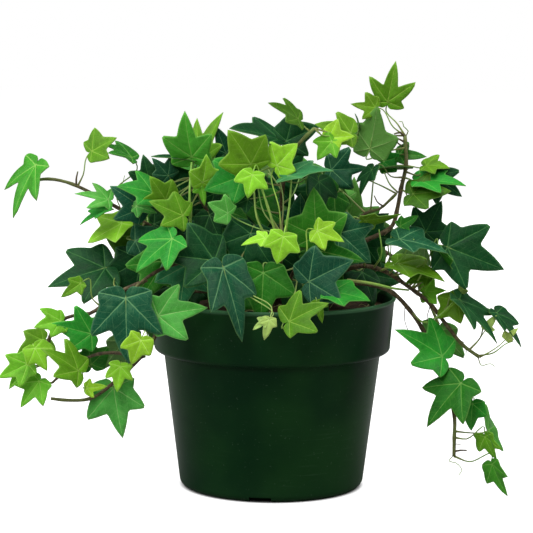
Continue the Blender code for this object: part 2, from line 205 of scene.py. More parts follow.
def add_camera():
    camera = bpy.data.objects.new("camera", bpy.data.cameras.new("camera"))
    camera.data.lens = LENS
    camera.data.sensor_width = SENSOR_WIDTH
    turn = Matrix.Rotation(CAMERA_TILT, 4, "X") @ Matrix.Rotation(CAMERA_ROLL, 4, "Z")
    camera.matrix_world = Matrix.Translation(CAMERA_PLACE) @ turn
    bpy.context.scene.collection.objects.link(camera)
    bpy.context.scene.camera = camera


add_camera()
print(f"camera: {LENS} mm lens")

# %% Floor and sky
WHITE = (1, 1, 1, 1)
FLOOR_SIZE = 12.0
FLOOR_GREY = (0.35, 0.35, 0.35, 1)
FLOOR_GLOW = 0.95
# Radii in metres between which the floor's glow comes up; the dark disc inside them is a painted
# shadow under the pot.
FLOOR_PAINTED_SHADOW_RADII = (0.057, 0.061)
SKY_FILL_GREY = (0.9, 0.9, 0.9, 1)
SKY_FILL = 0.16


def as_object(name, form):
    """Turns a bmesh into an object of the scene."""
    mesh = bpy.data.meshes.new(name)
    form.to_mesh(mesh)
    form.free()
    item = bpy.data.objects.new(name, mesh)
    bpy.context.scene.collection.objects.link(item)
    return item


def floor_paint():
    """Grey to the light, white to the camera from the pot's foot outwards, and painted shadow
    inside it.
    """
    constants = {"Base_Color": FLOOR_GREY, "Roughness": 1, "Specular_IOR_Level": 0}
    paint = Finish("white floor", Emission_Color=WHITE, **constants)
    place = paint.node("ShaderNodeNewGeometry", output="Position")
    reach = paint.node("ShaderNodeVectorMath", {"operation": "LENGTH"}, [place], output="Value")
    ramp = {"Value": reach, "From Min": FLOOR_PAINTED_SHADOW_RADII[0], "From Max": FLOOR_PAINTED_SHADOW_RADII[1]}
    # No glow inside the pot's foot: this paints the shadow under the pot.
    glow = paint.node("ShaderNodeMapRange", {}, {**ramp, "To Max": FLOOR_GLOW})
    seen = paint.node("ShaderNodeLightPath", output="Is Camera Ray")
    paint.plug(paint.shader.inputs["Emission Strength"], seen * glow)
    return paint.material


def add_floor():
    form = bmesh.new()
    bmesh.ops.create_grid(form, x_segments=1, y_segments=1, size=FLOOR_SIZE / 2)
    floor = as_object("floor", form)
    floor.data.materials.append(floor_paint())


def light_the_air():
    """White where the camera sees it, and a softer fill for everything else."""
    world = bpy.data.worlds.new("studio")
    bpy.context.scene.world = world
    world.use_nodes = True
    nodes, links = world.node_tree.nodes, world.node_tree.links
    seen, fill = nodes.new("ShaderNodeBackground"), nodes["Background"]
    for sky, colour, strength in ((seen, WHITE, 1.0), (fill, SKY_FILL_GREY, SKY_FILL)):
        sky.inputs["Color"].default_value = colour
        sky.inputs["Strength"].default_value = strength
    path = nodes.new("ShaderNodeLightPath")
    mix = nodes.new("ShaderNodeMixShader")
    links.new(path.outputs["Is Camera Ray"], mix.inputs["Fac"])
    links.new(fill.outputs["Background"], mix.inputs[1])
    links.new(seen.outputs["Background"], mix.inputs[2])
    links.new(mix.outputs["Shader"], nodes["World Output"].inputs["Surface"])


add_floor()
light_the_air()
print(f"floor: {FLOOR_SIZE} m wide, under a white sky")

# %% Light panels
HEART = Vector((0, 0, 0.14))
# Each row: place, width, power in watts, and whether shiny things mirror it.
PANELS = {
    "top panel": ((-0.25, -0.35, 1.5), 1.3, 24, True),
    "left panel": ((-1.15, -0.25, 0.55), 0.7, 7, True),
    "right panel": ((1.15, -0.15, 0.55), 0.7, 7, True),
    "front panel": ((-0.5, -1.5, 1.15), 0.5, 9, True),
    "back panel": ((0.3, 1.5, 1.0), 0.8, 26, False),
}


def add_panel(name, place, width, power, mirrored):
    """A square light that faces the middle of the plant."""
    lamp = bpy.data.lights.new(name, "AREA")
    lamp.size = width
    lamp.energy = power
    panel = bpy.data.objects.new(name, lamp)
    aim = (HEART - Vector(place)).to_track_quat("-Z", "Y")
    panel.matrix_world = Matrix.Translation(place) @ aim.to_matrix().to_4x4()
    panel.visible_glossy = mirrored
    bpy.context.scene.collection.objects.link(panel)


for name, row in PANELS.items():
    add_panel(name, *row)
bpy.context.scene.view_settings.view_transform = "Standard"
bpy.context.scene.view_settings.look = "None"
print(f"light: {len(PANELS)} panels")

# %% [markdown]
# ## Helpers for pieces
# Every piece rides on the plant's one body, takes the finishes that it is given, and may stand
# for a piece of the frame, which then isn't shown.

# %% Piece helpers


def finish_piece(name, form, materials, stands_for=()):
    """Turns a bmesh into a smooth-shaded piece of the plant."""
    piece = as_object(name, form)
    piece.data.shade_smooth()
    for material in materials:
        piece.data.materials.append(material)
    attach(piece, "root")
    if stands_for:
        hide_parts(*stands_for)
    return piece


def arc(centre, radius, start, end, steps):
    """Points of an arc about (radius, height) centre, from angle start to end in degrees."""
    turns = [math.radians(start + (end - start) * step / steps) for step in range(steps + 1)]
    return [(centre[0] + radius * math.cos(t), centre[1] + radius * math.sin(t)) for t in turns]


# %% [markdown]
# ## The nursery pot
# The real pot is one thin piece of moulded plastic, and a mould for a round thing is turned on a
# lathe. So the pot is a profile, drawn as a few points and arcs, and spun round its axis. The
# profile runs up the inside, over the rounded lip, down the deep collar, in at its foot, and down
# the tapered body to the rounded bottom edge. Four drain slots are then cut in that edge.

# %% Pot sizes
pot_low, pot_high = (Vector(corner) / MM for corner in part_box("nursery_pot"))
RIM_RADIUS = (pot_high.x - pot_low.x) / 2
POT_HEIGHT = pot_high.z
COLLAR_HEIGHT = 35.5
COLLAR_FOOT_RADIUS = 76.5
COLLAR_ROUND = 3.0
SHOULDER_RADIUS = 70.2
BASE_RADIUS = 59.3
BASE_ROUND = 5.0
WALL = 1.8
LIP = 2.4
LIP_PROUD = 0.9
SHOULDER_HOLLOW = 1.2
COLLAR_FOOT = POT_HEIGHT - COLLAR_HEIGHT
POT_STEPS = 144
SHARP_EDGE = math.radians(40)
print(f"pot: {2 * RIM_RADIUS:.1f} mm across the rim, {POT_HEIGHT:.1f} mm tall")

# %% Pot profile


def body_radius(height):
    return BASE_RADIUS + (SHOULDER_RADIUS - BASE_RADIUS) * height / COLLAR_FOOT


def pot_profile():
    lip = LIP / 2
    inside = [(0, WALL), (BASE_RADIUS - BASE_ROUND, WALL)]
    inside += [(body_radius(BASE_ROUND) - WALL, BASE_ROUND)]
    inside += [(SHOULDER_RADIUS - WALL, COLLAR_FOOT + WALL - 1)]
    inside += [(SHOULDER_RADIUS - WALL + 1, COLLAR_FOOT + WALL)]
    inside += [(COLLAR_FOOT_RADIUS - WALL, COLLAR_FOOT + WALL)]
    rim = arc((RIM_RADIUS - lip, POT_HEIGHT - lip), lip, 180, -70, 10)
    collar = [(RIM_RADIUS - LIP_PROUD - 0.1, POT_HEIGHT - LIP - 0.3)]
    collar += [(RIM_RADIUS - LIP_PROUD - 0.2, POT_HEIGHT - LIP - 1.2)]
    foot = (COLLAR_FOOT_RADIUS - COLLAR_ROUND, COLLAR_FOOT + COLLAR_ROUND)
    collar += [(COLLAR_FOOT_RADIUS + 0.1, foot[1] + 2)]
    collar += arc(foot, COLLAR_ROUND, 0, -90, 7)
    hollow = (SHOULDER_RADIUS + SHOULDER_HOLLOW, COLLAR_FOOT - SHOULDER_HOLLOW)
    body = arc(hollow, SHOULDER_HOLLOW, 90, 180, 4)
    corner = (body_radius(BASE_ROUND) - BASE_ROUND, BASE_ROUND)
    body += arc(corner, BASE_ROUND, 0, -90, 8)
    return inside + rim + collar + body + [(0, 0)]


def spin(profile, steps):
    """A closed solid turned from a profile that starts and ends on the axis."""
    form = bmesh.new()
    points = [form.verts.new((radius * MM, 0, height * MM)) for radius, height in profile]
    edges = [form.edges.new(pair) for pair in zip(points, points[1:])]
    turned = {"axis": (0, 0, 1), "cent": (0, 0, 0), "angle": math.tau, "steps": steps}
    bmesh.ops.spin(form, geom=points + edges, use_merge=True, **turned)
    bmesh.ops.remove_doubles(form, verts=form.verts, dist=0.01 * MM)
    bmesh.ops.recalc_face_normals(form, faces=form.faces)
    return form


# %% [markdown]
# ### Its plastic
# Old nursery pots are dark green polypropylene with a satin skin. The skin is never even: it has
# fine scuffs that run round it, a few dull water marks near the foot, and dust specks. The lip is
# painted paler all round: a painted highlight.

# %% Pot plastic
SHADE_GREEN = (0.0015, 0.0190, 0.0050)
POT_GREEN = (0.0060, 0.0360, 0.0075)
LIP_PAINTED_HIGHLIGHT = (0.038, 0.115, 0.048)
SCUFF_GREEN = (0.055, 0.110, 0.060)
DUST = (0.100, 0.150, 0.100)
WATER_MARK = (0.016, 0.050, 0.022)


def pot_plastic():
    finish = Finish("pot plastic", Specular_IOR_Level=0.06)
    place = finish.place()
    height = finish.node("ShaderNodeSeparateXYZ", {}, [place], output="Z") / MM
    cloud = finish.noise(14, 3, place)
    stretched = {"Vector": place, "Scale": (1, 1, 14)}
    streaks = finish.noise(46, 4, finish.node("ShaderNodeMapping", {}, stretched))
    scuffs = streaks.step_up(0.57, 0.80) * cloud.step_up(0.42, 0.66)
    specks = finish.noise(620, 1, place).step_up(0.70, 0.76)
    fine = finish.noise(900, 2, place)
    # Painted highlight: a band round the top of the lip is painted paler.
    lip = height.step_up(POT_HEIGHT - LIP - 0.8, POT_HEIGHT - LIP + 0.6)
    foot = height.step_down(2, 26)
    green = finish.blend(cloud.step_up(0.35, 0.65), SHADE_GREEN, POT_GREEN)
    # Blends in the lip's painted highlight.
    green = finish.blend(lip * 0.85, green, LIP_PAINTED_HIGHLIGHT)
    green = finish.blend(scuffs * 0.20, green, SCUFF_GREEN)
    green = finish.blend(specks * 0.15, green, DUST)
    green = finish.blend(foot * cloud * 0.25, green, WATER_MARK)
    finish.colour(green)
    finish.roughness(0.30 + scuffs * 0.22 + cloud * 0.10 + foot * 0.08)
    finish.bump(fine * 0.35 + streaks * 0.5 - scuffs * 0.5, 0.00012, 0.5)
    return finish.material


# %% Drain slots
DRAIN_COUNT = 4
DRAIN_ANGLE = 263.0
DRAIN_SIZE = (18.0, 14.0, 6.8)


def cut_drains(pot):
    """Notches the pot's bottom edge with one block for each slot."""
    for number in range(DRAIN_COUNT):
        form = bmesh.new()
        size = Matrix.Diagonal((*(length * MM for length in DRAIN_SIZE), 1))
        bmesh.ops.create_cube(form, size=1, matrix=size)
        turn = math.radians(DRAIN_ANGLE + 360 * number / DRAIN_COUNT)
        place = Matrix.Rotation(turn, 4, "Z") @ Matrix.Translation((BASE_RADIUS * MM, 0, 0))
        bmesh.ops.transform(form, matrix=place, verts=form.verts)
        cutter = as_object("drain", form)
        cut = pot.modifiers.new("Drain", "BOOLEAN")
        cut.operation = "DIFFERENCE"
        cut.object = cutter
        with bpy.context.temp_override(object=pot, active_object=pot):
            bpy.ops.object.modifier_apply(modifier=cut.name)
        bpy.data.objects.remove(cutter)


pot_form = spin(pot_profile(), POT_STEPS)
pot_piece = finish_piece("pot", pot_form, [pot_plastic()], ["nursery_pot"])
cut_drains(pot_piece)
pot_piece.data.set_sharp_from_angle(angle=SHARP_EDGE)
print(f"pot: {len(pot_piece.data.polygons)} faces")

# %% [markdown]
# ## The potting mix
# Potting mix is peat, bark and fine roots. Its top is a low mound with crumbs on it. The mound is
# spun like the pot, its top is cut into small facets, and each point of it is moved up or down by
# noise. The bark is in its crumbs and colours, and root fibres are laid on it further down.

# %% Potting mix
MIX_BELOW_RIM = 8.0
MIX_MOUND = 5.0
MIX_CLEARANCE = 0.3
MIX_EDGE = POT_HEIGHT - MIX_BELOW_RIM
MIX_RADIUS = COLLAR_FOOT_RADIUS - WALL + 1.2
MIX_RINGS, MIX_STEPS = 34, 110
# Each size of crumb: how close together, its layer of the noise, and its height.
CRUMBS = ((0.09, 3.0, 1.6), (0.32, 7.0, 1.1))
CRUMB_SINK = 0.9


def mix_height(x, y):
    share = min(1.0, math.hypot(x, y) / MIX_RADIUS)
    return MIX_EDGE + MIX_MOUND * (1 - share * share)


def crumbs(x, y):
    """How far the mix stands off its mound, in millimetres."""
    lift = 0
    for closeness, layer, height in CRUMBS:
        lift += noise.noise(Vector((x * closeness, y * closeness, layer))) * height
    rim = 1 - (math.hypot(x, y) / MIX_RADIUS) ** 8
    return (lift - CRUMB_SINK) * max(0.0, rim)


def mix_solid():
    radii = [MIX_RADIUS * ring / MIX_RINGS for ring in range(MIX_RINGS + 1)]
    top = [(radius, mix_height(radius, 0)) for radius in radii]
    sides = [(COLLAR_FOOT_RADIUS - WALL - MIX_CLEARANCE, COLLAR_FOOT + WALL + MIX_CLEARANCE)]
    sides += [(SHOULDER_RADIUS - WALL - MIX_CLEARANCE, COLLAR_FOOT + WALL + MIX_CLEARANCE)]
    sides += [(body_radius(BASE_ROUND) - WALL - MIX_CLEARANCE, BASE_ROUND)]
    sides += [(BASE_RADIUS - BASE_ROUND - 1, WALL + MIX_CLEARANCE), (0, WALL + MIX_CLEARANCE)]
    form = spin(top + sides, MIX_STEPS)
    for point in form.verts:
        if point.co.z > (MIX_EDGE - 1) * MM:
            point.co.z += crumbs(point.co.x / MM, point.co.y / MM) * MM
    return form


def mix_finish():
    finish = Finish("peat and bark", Specular_IOR_Level=0.2)
    place = finish.place()
    grain = finish.noise(240, 6, place, 0.7)
    patches = finish.noise(60, 3, place)
    stops = [(0.25, (0.010, 0.006, 0.004)), (0.50, (0.045, 0.027, 0.015))]
    stops += [(0.72, (0.130, 0.085, 0.045))]
    brown = finish.node("ShaderNodeValToRGB", {"stops": stops}, [grain * 0.8 + patches * 0.2])
    finish.colour(brown)
    finish.roughness(0.86 + grain * 0.14)
    finish.bump(grain, 0.0012)
    return finish.material


finish_piece("potting_mix_top", mix_solid(), [mix_finish()], ["potting_mix"])
print("potting mix: one mound with crumbs")

# %% [markdown]
# ## Tubes along a route
# Vines, petioles, rootlets and fibres are all thin tubes that follow a smooth line. A route is a
# short list of given points. A smooth curve is read through them, one ring of points is
# made where it starts, and the ring is pushed out along the curve, edge loop by edge loop. Each
# point also stores how far along the tube it is, for the finish to read.

# %% Routes and tubes


def smooth_route(points, spacing):
    """Points read every spacing or so from a smooth curve through the given points."""
    gaps = [(after - before).length for before, after in zip(points, points[1:])]
    slopes = [(points[1] - points[0]) / gaps[0]]
    for index in range(1, len(points) - 1):
        before = (points[index] - points[index - 1]) / gaps[index - 1]
        after = (points[index + 1] - points[index]) / gaps[index]
        total = gaps[index - 1] + gaps[index]
        slopes.append((before * gaps[index] + after * gaps[index - 1]) / total)
    slopes.append((points[-1] - points[-2]) / gaps[-1])
    route = [points[0]]
    for index, gap in enumerate(gaps):
        steps = max(1, round(gap / spacing))
        for step in range(1, steps + 1):
            t = step / steps
            start = points[index] * (2 * t**3 - 3 * t**2 + 1)
            start += slopes[index] * gap * (t**3 - 2 * t**2 + t)
            end = points[index + 1] * (3 * t**2 - 2 * t**3)
            end += slopes[index + 1] * gap * (t**3 - t**2)
            route.append(start + end)
    return route


def add_tube(form, route, radii, sides, material=0):
    """Grows a tube in a bmesh along a route in millimetres."""
    along = form.verts.layers.float.get("along") or form.verts.layers.float.new("along")
    heading = (route[1] - route[0]).normalized()
    turn = heading.to_track_quat("Z", "Y")
    start = Matrix.Translation(route[0] * MM) @ turn.to_matrix().to_4x4()
    made = bmesh.ops.create_circle(
        form, cap_ends=True, segments=sides, radius=radii[0] * MM, matrix=start
    )
    ring = made["verts"]
    edges = [e for e in form.edges if e.verts[0] in ring and e.verts[1] in ring]
    faces = {face for edge in edges for face in edge.link_faces}
    for face in faces:
        face.material_index = material
    last = len(route) - 1
    for index in range(1, last + 1):
        after = route[min(last, index + 1)] - route[index - 1]
        bend = heading.rotation_difference(after.normalized())
        heading = after.normalized()
        grown = bmesh.ops.extrude_edge_only(form, edges=edges)["geom"]
        edges = [item for item in grown if isinstance(item, bmesh.types.BMEdge)]
        edges = [edge for edge in edges if all(v in grown for v in edge.verts)]
        points = {point for edge in edges for point in edge.verts}
        for face in (item for item in grown if isinstance(item, bmesh.types.BMFace)):
            face.material_index = material
        old, new = route[index - 1] * MM, route[index] * MM
        swell = radii[index] / radii[index - 1]
        for point in points:
            arm = point.co - old
            arm.rotate(bend)
            point.co = new + arm * swell
            point[along] = index / last
    for face in bmesh.ops.contextual_create(form, geom=edges)["faces"]:
        face.material_index = material


# %% [markdown]
# ## The vines
# An ivy stem is thin and woody, brown and finely cracked where it is old and green where it is
# young. It swells a little at each node, where a leaf joins. The routes are those of the frame's
# vines, and two short stems, middle and right_twig, are added to them.

# %% Vine routes
# Each row: thickness where it leaves the mix, (x, y) of its root, then the points it follows.
VINES = {
    "left_high": (1.5, (-14, -6), ((-30, -12, 142), (-58, -18, 160), (-88, -20, 176),
                  (-108, -20, 187), (-121, -20, 194), (-131, -20, 198), (-143, -20, 200),
                  (-152, -20, 199))),
    "left_outer": (1.6, (-18, -16), ((-45, -40, 136), (-75, -50, 140), (-98, -56, 131),
                   (-113, -60, 120), (-128, -60, 117), (-135, -60, 112), (-139, -60, 103),
                   (-141, -60, 93), (-144, -60, 87))),
    "left_inner": (1.5, (-10, -22), ((-32, -42, 131), (-53, -53, 132), (-67, -60, 122),
                   (-72, -61, 108), (-78, -60, 97), (-85, -60, 89), (-98, -60, 77),
                   (-114, -60, 66), (-128, -60, 65), (-138, -60, 66))),
    "left_middle": (1.2, None, ((-86, -63, 92), (-91, -65, 95), (-99, -65, 96), (-108, -64, 95),
                    (-118, -62, 91), (-127, -61, 86), (-133, -61, 80), (-137, -60, 76))),
    "upper_left": (1.7, (-8, -4), ((-22, -14, 150), (-36, -24, 172), (-46, -32, 190),
                   (-50, -38, 203))),
    "top": (1.7, (0, 2), ((4, -10, 145), (5, -22, 170), (6, -34, 198), (9, -42, 215),
            (18, -48, 228), (25, -50, 235))),
    "right_high": (1.8, (12, -2), ((35, -8, 148), (60, -16, 162), (76, -20, 172),
                   (79, -20, 183), (81, -20, 195), (84, -20, 210), (83, -20, 229))),
    "right_low": (1.7, (14, -12), ((40, -24, 141), (58, -30, 147), (70, -30, 144),
                  (86, -30, 134), (99, -30, 124), (111, -30, 109), (122, -30, 96),
                  (132, -30, 89))),
    "right_hanging": (1.7, (8, -18), ((36, -33, 134), (60, -34, 136), (76, -30, 130),
                      (87, -30, 119), (97, -31, 104), (104, -38, 88), (111, -46, 70),
                      (115, -50, 53), (115, -50, 41), (115, -50, 29))),
    "front": (1.5, (-4, -22), ((-14, -42, 140), (-22, -58, 150), (-27, -70, 153))),
    "front_right": (1.5, (3, -18), ((10, -40, 138), (14, -54, 148), (16, -64, 151))),
    "front_left": (1.5, (-14, -14), ((-30, -36, 144), (-52, -54, 152), (-70, -66, 148),
                   (-84, -72, 138), (-92, -74, 126))),
    "middle": (1.3, (6, -10), ((4, -34, 140), (5, -52, 155), (5, -58, 170))),
    "right_twig": (1.3, (18, -6), ((36, -18, 158), (50, -20, 172), (62, -20, 181),
                   (67, -20, 182), (73, -20, 187), (78, -20, 192))),
    "back_left": (1.6, (-12, 14), ((-34, 36, 142), (-58, 58, 143), (-78, 76, 122),
                  (-92, 88, 98), (-99, 94, 74))),
    "back_right": (1.6, (12, 12), ((36, 34, 146), (62, 56, 151), (88, 74, 136),
                   (105, 84, 114), (115, 90, 92))),
    "back": (1.6, (0, 16), ((-2, 44, 150), (2, 70, 165), (6, 92, 152), (8, 106, 124),
             (6, 112, 94))),
}
ROOT_RISE, ROOT_SUNK = 6.0, 1.5
VINE_STEP, VINE_SIDES = 3.5, 10
VINE_WAIST, VINE_TAPER = 0.92, 0.7
NODE_SPACING, NODE_SWELL, NODE_REACH = 15.0, 0.22, 3.0


def vine_route(name):
    """A vine's fine route, and its radius at each point with a swelling at every node."""
    thickness, root, points = VINES[name]
    places = [Vector(point) for point in points]
    if root:
        foot = Vector((*root, mix_height(*root) - ROOT_SUNK))
        places = [foot, foot + UP * ROOT_RISE, *places]
    route = smooth_route(places, VINE_STEP)
    last = len(route) - 1
    radii, run = [], 0.0
    for index, place in enumerate(route):
        if index:
            run += (place - route[index - 1]).length
        aside = run % NODE_SPACING - NODE_SPACING / 2
        swell = NODE_SWELL * math.exp(-(aside**2) / NODE_REACH)
        radii.append(thickness * (1 - (1 - VINE_TAPER) * index / last) * (VINE_WAIST + swell))
    return route, radii


def bark():
    finish = Finish("vine bark", Specular_IOR_Level=0.3)
    place = finish.place()
    along = finish.read("along")
    mottle = finish.noise(420, 4, place, 0.65)
    patches = finish.noise(70, 2, place)
    stops = [(0.30, (0.028, 0.018, 0.010)), (0.52, (0.085, 0.060, 0.028))]
    stops += [(0.72, (0.190, 0.150, 0.080))]
    wood = finish.node("ShaderNodeValToRGB", {"stops": stops}, [mottle])
    young = finish.blend(mottle, (0.120, 0.200, 0.035), (0.230, 0.300, 0.080))
    ripe = (along + patches * 0.5).step_up(1.02, 1.40)
    finish.colour(finish.blend(ripe, wood, young))
    finish.roughness(0.55 + mottle * 0.3)
    finish.bump(mottle, 0.0003)
    return finish.material


vine_bark = bark()
vines = {name: vine_route(name) for name in VINES}
for name, (route, radii) in vines.items():
    vine_form = bmesh.new()
    add_tube(vine_form, route, radii, VINE_SIDES)
    node = f"vine_{name}"
    stands_for = [node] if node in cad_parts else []
    finish_piece(f"stem_{name}", vine_form, [vine_bark], stands_for)
print(f"vines: {len(vines)}")

# %% [markdown]
# ## A leaf's blade
# An ivy leaf has three to five pointed lobes, and one strong vein runs into each of them from the
# foot, where the petiole joins. That suits a fan: a circle filled with triangles about its
# middle, with the middle kept at the foot and each rim point pulled in or out to the outline. The
# spokes are then cut across to give rings, so that the blade can be folded at its midrib, dished,
# curled at the tip and puckered between its veins. Last, it gets its thickness.
#
# The outline is a few (angle, reach) pairs for one side. Between a tip and a hollow the reach
# falls fast at first, which gives the lobe its point, and then levels out.

# %% Blade outline
LOBES = {
    "pointed": ((0, 1.00), (22, 0.45), (45, 0.84), (74, 0.34), (100, 0.44), (140, 0.20)),
    "mature": ((0, 1.00), (24, 0.53), (47, 0.81), (78, 0.42), (103, 0.46), (142, 0.24)),
    "broad": ((0, 1.00), (30, 0.60), (55, 0.80), (87, 0.50), (110, 0.48), (144, 0.28)),
    "folded": ((0, 1.00), (21, 0.50), (40, 0.66), (72, 0.38), (100, 0.38), (140, 0.20)),
    "young": ((0, 1.00), (30, 0.40), (58, 0.55), (90, 0.33), (112, 0.31), (145, 0.18)),
}
VEIN_ANGLES = (0, 47, 104)
LOBE_POINT = 1.4
HEEL_POINT = 0.55
BLADE_FOLD = 0.20
BLADE_DROOP = 0.16
LOBE_TURN = 50
RIDGE_ROUND = 0.03
GROOVE_WIDTH, GROOVE_DEPTH = 0.035, 0.016


def reach_at(lobes, angle):
    """The outline's distance from the foot, as a share of the length, at an angle."""
    angle = abs(angle)
    if angle >= lobes[-1][0]:
        share = (angle - lobes[-1][0]) / (180 - lobes[-1][0])
        return lobes[-1][1] * (1 - share) ** HEEL_POINT + 0.004
    for start, end in zip(lobes, lobes[1:]):
        if angle <= end[0]:
            break
    tip, hollow = (start, end) if start[1] > end[1] else (end, start)
    share = abs(angle - tip[0]) / abs(hollow[0] - tip[0])
    return hollow[1] + (tip[1] - hollow[1]) * (1 - share) ** LOBE_POINT


def vein_angle(lobes, angle):
    """Turns an angle on the blade to the one where the vein pattern's lobes lie."""
    marks = [(0, 0), (lobes[2][0], VEIN_ANGLES[1]), (lobes[4][0], VEIN_ANGLES[2]), (180, 180)]
    size = abs(angle)
    for (start, first), (end, second) in zip(marks, marks[1:]):
        if size <= end:
            break
    turned = first + (second - first) * (size - start) / (end - start)
    return math.copysign(turned, angle)


# %% Blade shape


class Blade:
    """One leaf's own measures: its lobes, its length and how it bends."""

    def __init__(self, form, length, dice, uneven):
        self.halves = []
        for _ in range(2):
            lobes = [(0, 1.0)]
            for angle, reach in LOBES[form][1:]:
                turn = dice.uniform(-LOBE_TURN, LOBE_TURN) * uneven
                stretch = dice.uniform(-1, 1) * uneven
                lobes.append((angle + turn, reach * (1 + stretch)))
            self.halves.append(lobes)
        self.length = length
        self.skew = dice.uniform(-0.06, 0.06)
        self.fold = BLADE_FOLD * dice.uniform(0.75, 1.25)
        self.droop = BLADE_DROOP * dice.uniform(0.6, 1.5)
        self.twist = dice.uniform(-0.12, 0.12)
        self.wave = dice.uniform(0.010, 0.026)
        self.phase = dice.uniform(0, math.tau)
        self.turns = dice.choice((5, 6, 7))

    def lobes(self, side):
        """The lobes of the half on a side, whose sign is that of its angles."""
        return self.halves[0 if side >= 0 else 1]

    def height(self, along, across):
        """How far the blade stands off its flat plane, in millimetres."""
        length = self.length
        reach = math.hypot(along, across) / length
        angle = math.atan2(across, along)
        ridge = math.sqrt(across * across + (RIDGE_ROUND * length) ** 2)
        lift = self.fold * ridge
        lift -= self.droop * (along * abs(along) + across * across) / length
        lift += self.twist * along * across / length
        lift += self.wave * length * reach**2 * math.sin(self.turns * angle + self.phase)
        return lift - self.grooves(along, across)

    def grooves(self, along, across):
        """The veins lie in shallow grooves, and the blade swells a little between them."""
        depth = 0.0
        for vein, _ in self.lobes(across)[::2]:
            turn = math.radians(vein)
            forth = along * math.cos(turn) + abs(across) * math.sin(turn)
            aside = abs(across) * math.cos(turn) - along * math.sin(turn)
            if forth > 0:
                depth = max(depth, math.exp(-((aside / (GROOVE_WIDTH * self.length)) ** 2)))
        return GROOVE_DEPTH * self.length * depth

    def place(self, angle, reach):
        """A point of the blade from its angle in degrees and its distance from the foot."""
        turn = math.radians(angle)
        bend = self.skew * reach / self.length * math.cos(turn)
        along, across = reach * math.cos(turn - bend), reach * math.sin(turn - bend)
        return Vector((along, across, self.height(along, across)))


def add_blade(form, blade, spokes, rings, thickness):
    """Grows a blade in its own axes: +X along the midrib, +Z on its upper side."""
    edge = form.verts.layers.float.new("edge")
    veins = form.loops.layers.uv.new("veins")
    made = bmesh.ops.create_circle(form, cap_ends=True, cap_tris=True, segments=spokes, radius=1)
    foot = min(made["verts"], key=lambda point: point.co.length)
    angles = {}
    for point in made["verts"]:
        if point is not foot:
            angle = math.degrees(math.atan2(point.co.y, point.co.x))
            reach = blade.length * reach_at(blade.lobes(angle), angle)
            turn = math.radians(angle)
            point.co = Vector((reach * math.cos(turn), reach * math.sin(turn), 0))
            point[edge] = 1.0
    bmesh.ops.subdivide_edges(form, edges=foot.link_edges[:], cuts=rings - 1, use_grid_fill=True)
    for point in form.verts:
        angles[point] = math.degrees(math.atan2(point.co.y, point.co.x))
    for face in form.faces:
        for corner in face.loops:
            point = corner.vert
            turn = math.radians(vein_angle(blade.lobes(angles[point]), angles[point]))
            reach = point.co.length / blade.length
            corner[veins].uv = (reach * math.cos(turn), reach * math.sin(turn))
    for point in form.verts:
        point.co = blade.place(angles[point], point.co.length) * MM
    bmesh.ops.recalc_face_normals(form, faces=form.faces)
    if sum(face.normal.z for face in form.faces) < 0:
        bmesh.ops.reverse_faces(form, faces=form.faces)
    sheet = form.faces[:]
    grown = bmesh.ops.extrude_face_region(form, geom=sheet, use_keep_orig=True)["geom"]
    under = [item for item in grown if isinstance(item, bmesh.types.BMVert)]
    bmesh.ops.translate(form, vec=(0, 0, -thickness * MM), verts=under)
    bmesh.ops.recalc_face_normals(form, faces=form.faces)
    for face in form.faces:
        face.material_index = 0 if face.normal.z > 0.1 else 1


# %% [markdown]
# ### The leaf's finish
# The veins are drawn by sums on the blade's own map, where the foot is at the origin and the tip
# at 1. A vein is a thin line at a lobe's angle that narrows outwards. Side veins leave it at a
# steady spacing, and a fine net fills what is left. Young leaves are lime with faint veins, and
# old ones are dark with pale, clear veins, so each leaf carries its own colour and vein strength.

# %% Leaf finishes
SIDE_VEIN_SPACING = 0.125


def vein_pattern(finish):
    """Main veins, side veins, the fine net and the strip beside a main vein, from 0 to 1."""
    veins = finish.node("ShaderNodeUVMap", {"uv_map": "veins"})
    along = finish.node("ShaderNodeSeparateXYZ", {}, [veins], output="X")
    across = abs(Value(finish, along.socket.node.outputs["Y"]))
    wobble = (finish.noise(9, 1, veins) - 0.5) * 0.02
    main, side, nearest = None, None, None
    for angle in VEIN_ANGLES:
        turn = math.radians(angle)
        forth = along * math.cos(turn) + across * math.sin(turn)
        aside = abs(across * math.cos(turn) - along * math.sin(turn) + wobble)
        width = (0.016 - forth * 0.012).highest(0.004)
        line = (aside / width).step_down(0.35, 1.0) * forth.step_up(0.0, 0.01)
        comb = abs(((forth - aside * 0.8 + wobble * 2) / SIDE_VEIN_SPACING).fraction() - 0.5)
        branch = comb.step_down(0.01, 0.055) * aside.step_down(0.12, 0.26)
        branch = branch * forth.step_up(0.05, 0.12)
        if main is None:
            main, side, nearest = line, branch, aside
        else:
            closer = (nearest - aside).step_up(-0.01, 0.01)
            main = main.highest(line)
            side = side * (1 - closer) + branch * closer
            nearest = nearest.lowest(aside)
    cells = {"feature": "DISTANCE_TO_EDGE"}
    net = finish.node("ShaderNodeTexVoronoi", cells, {"Vector": veins, "Scale": 26.0})
    return main, side, net.step_down(0.02, 0.14), nearest.step_down(0.0, 0.13)


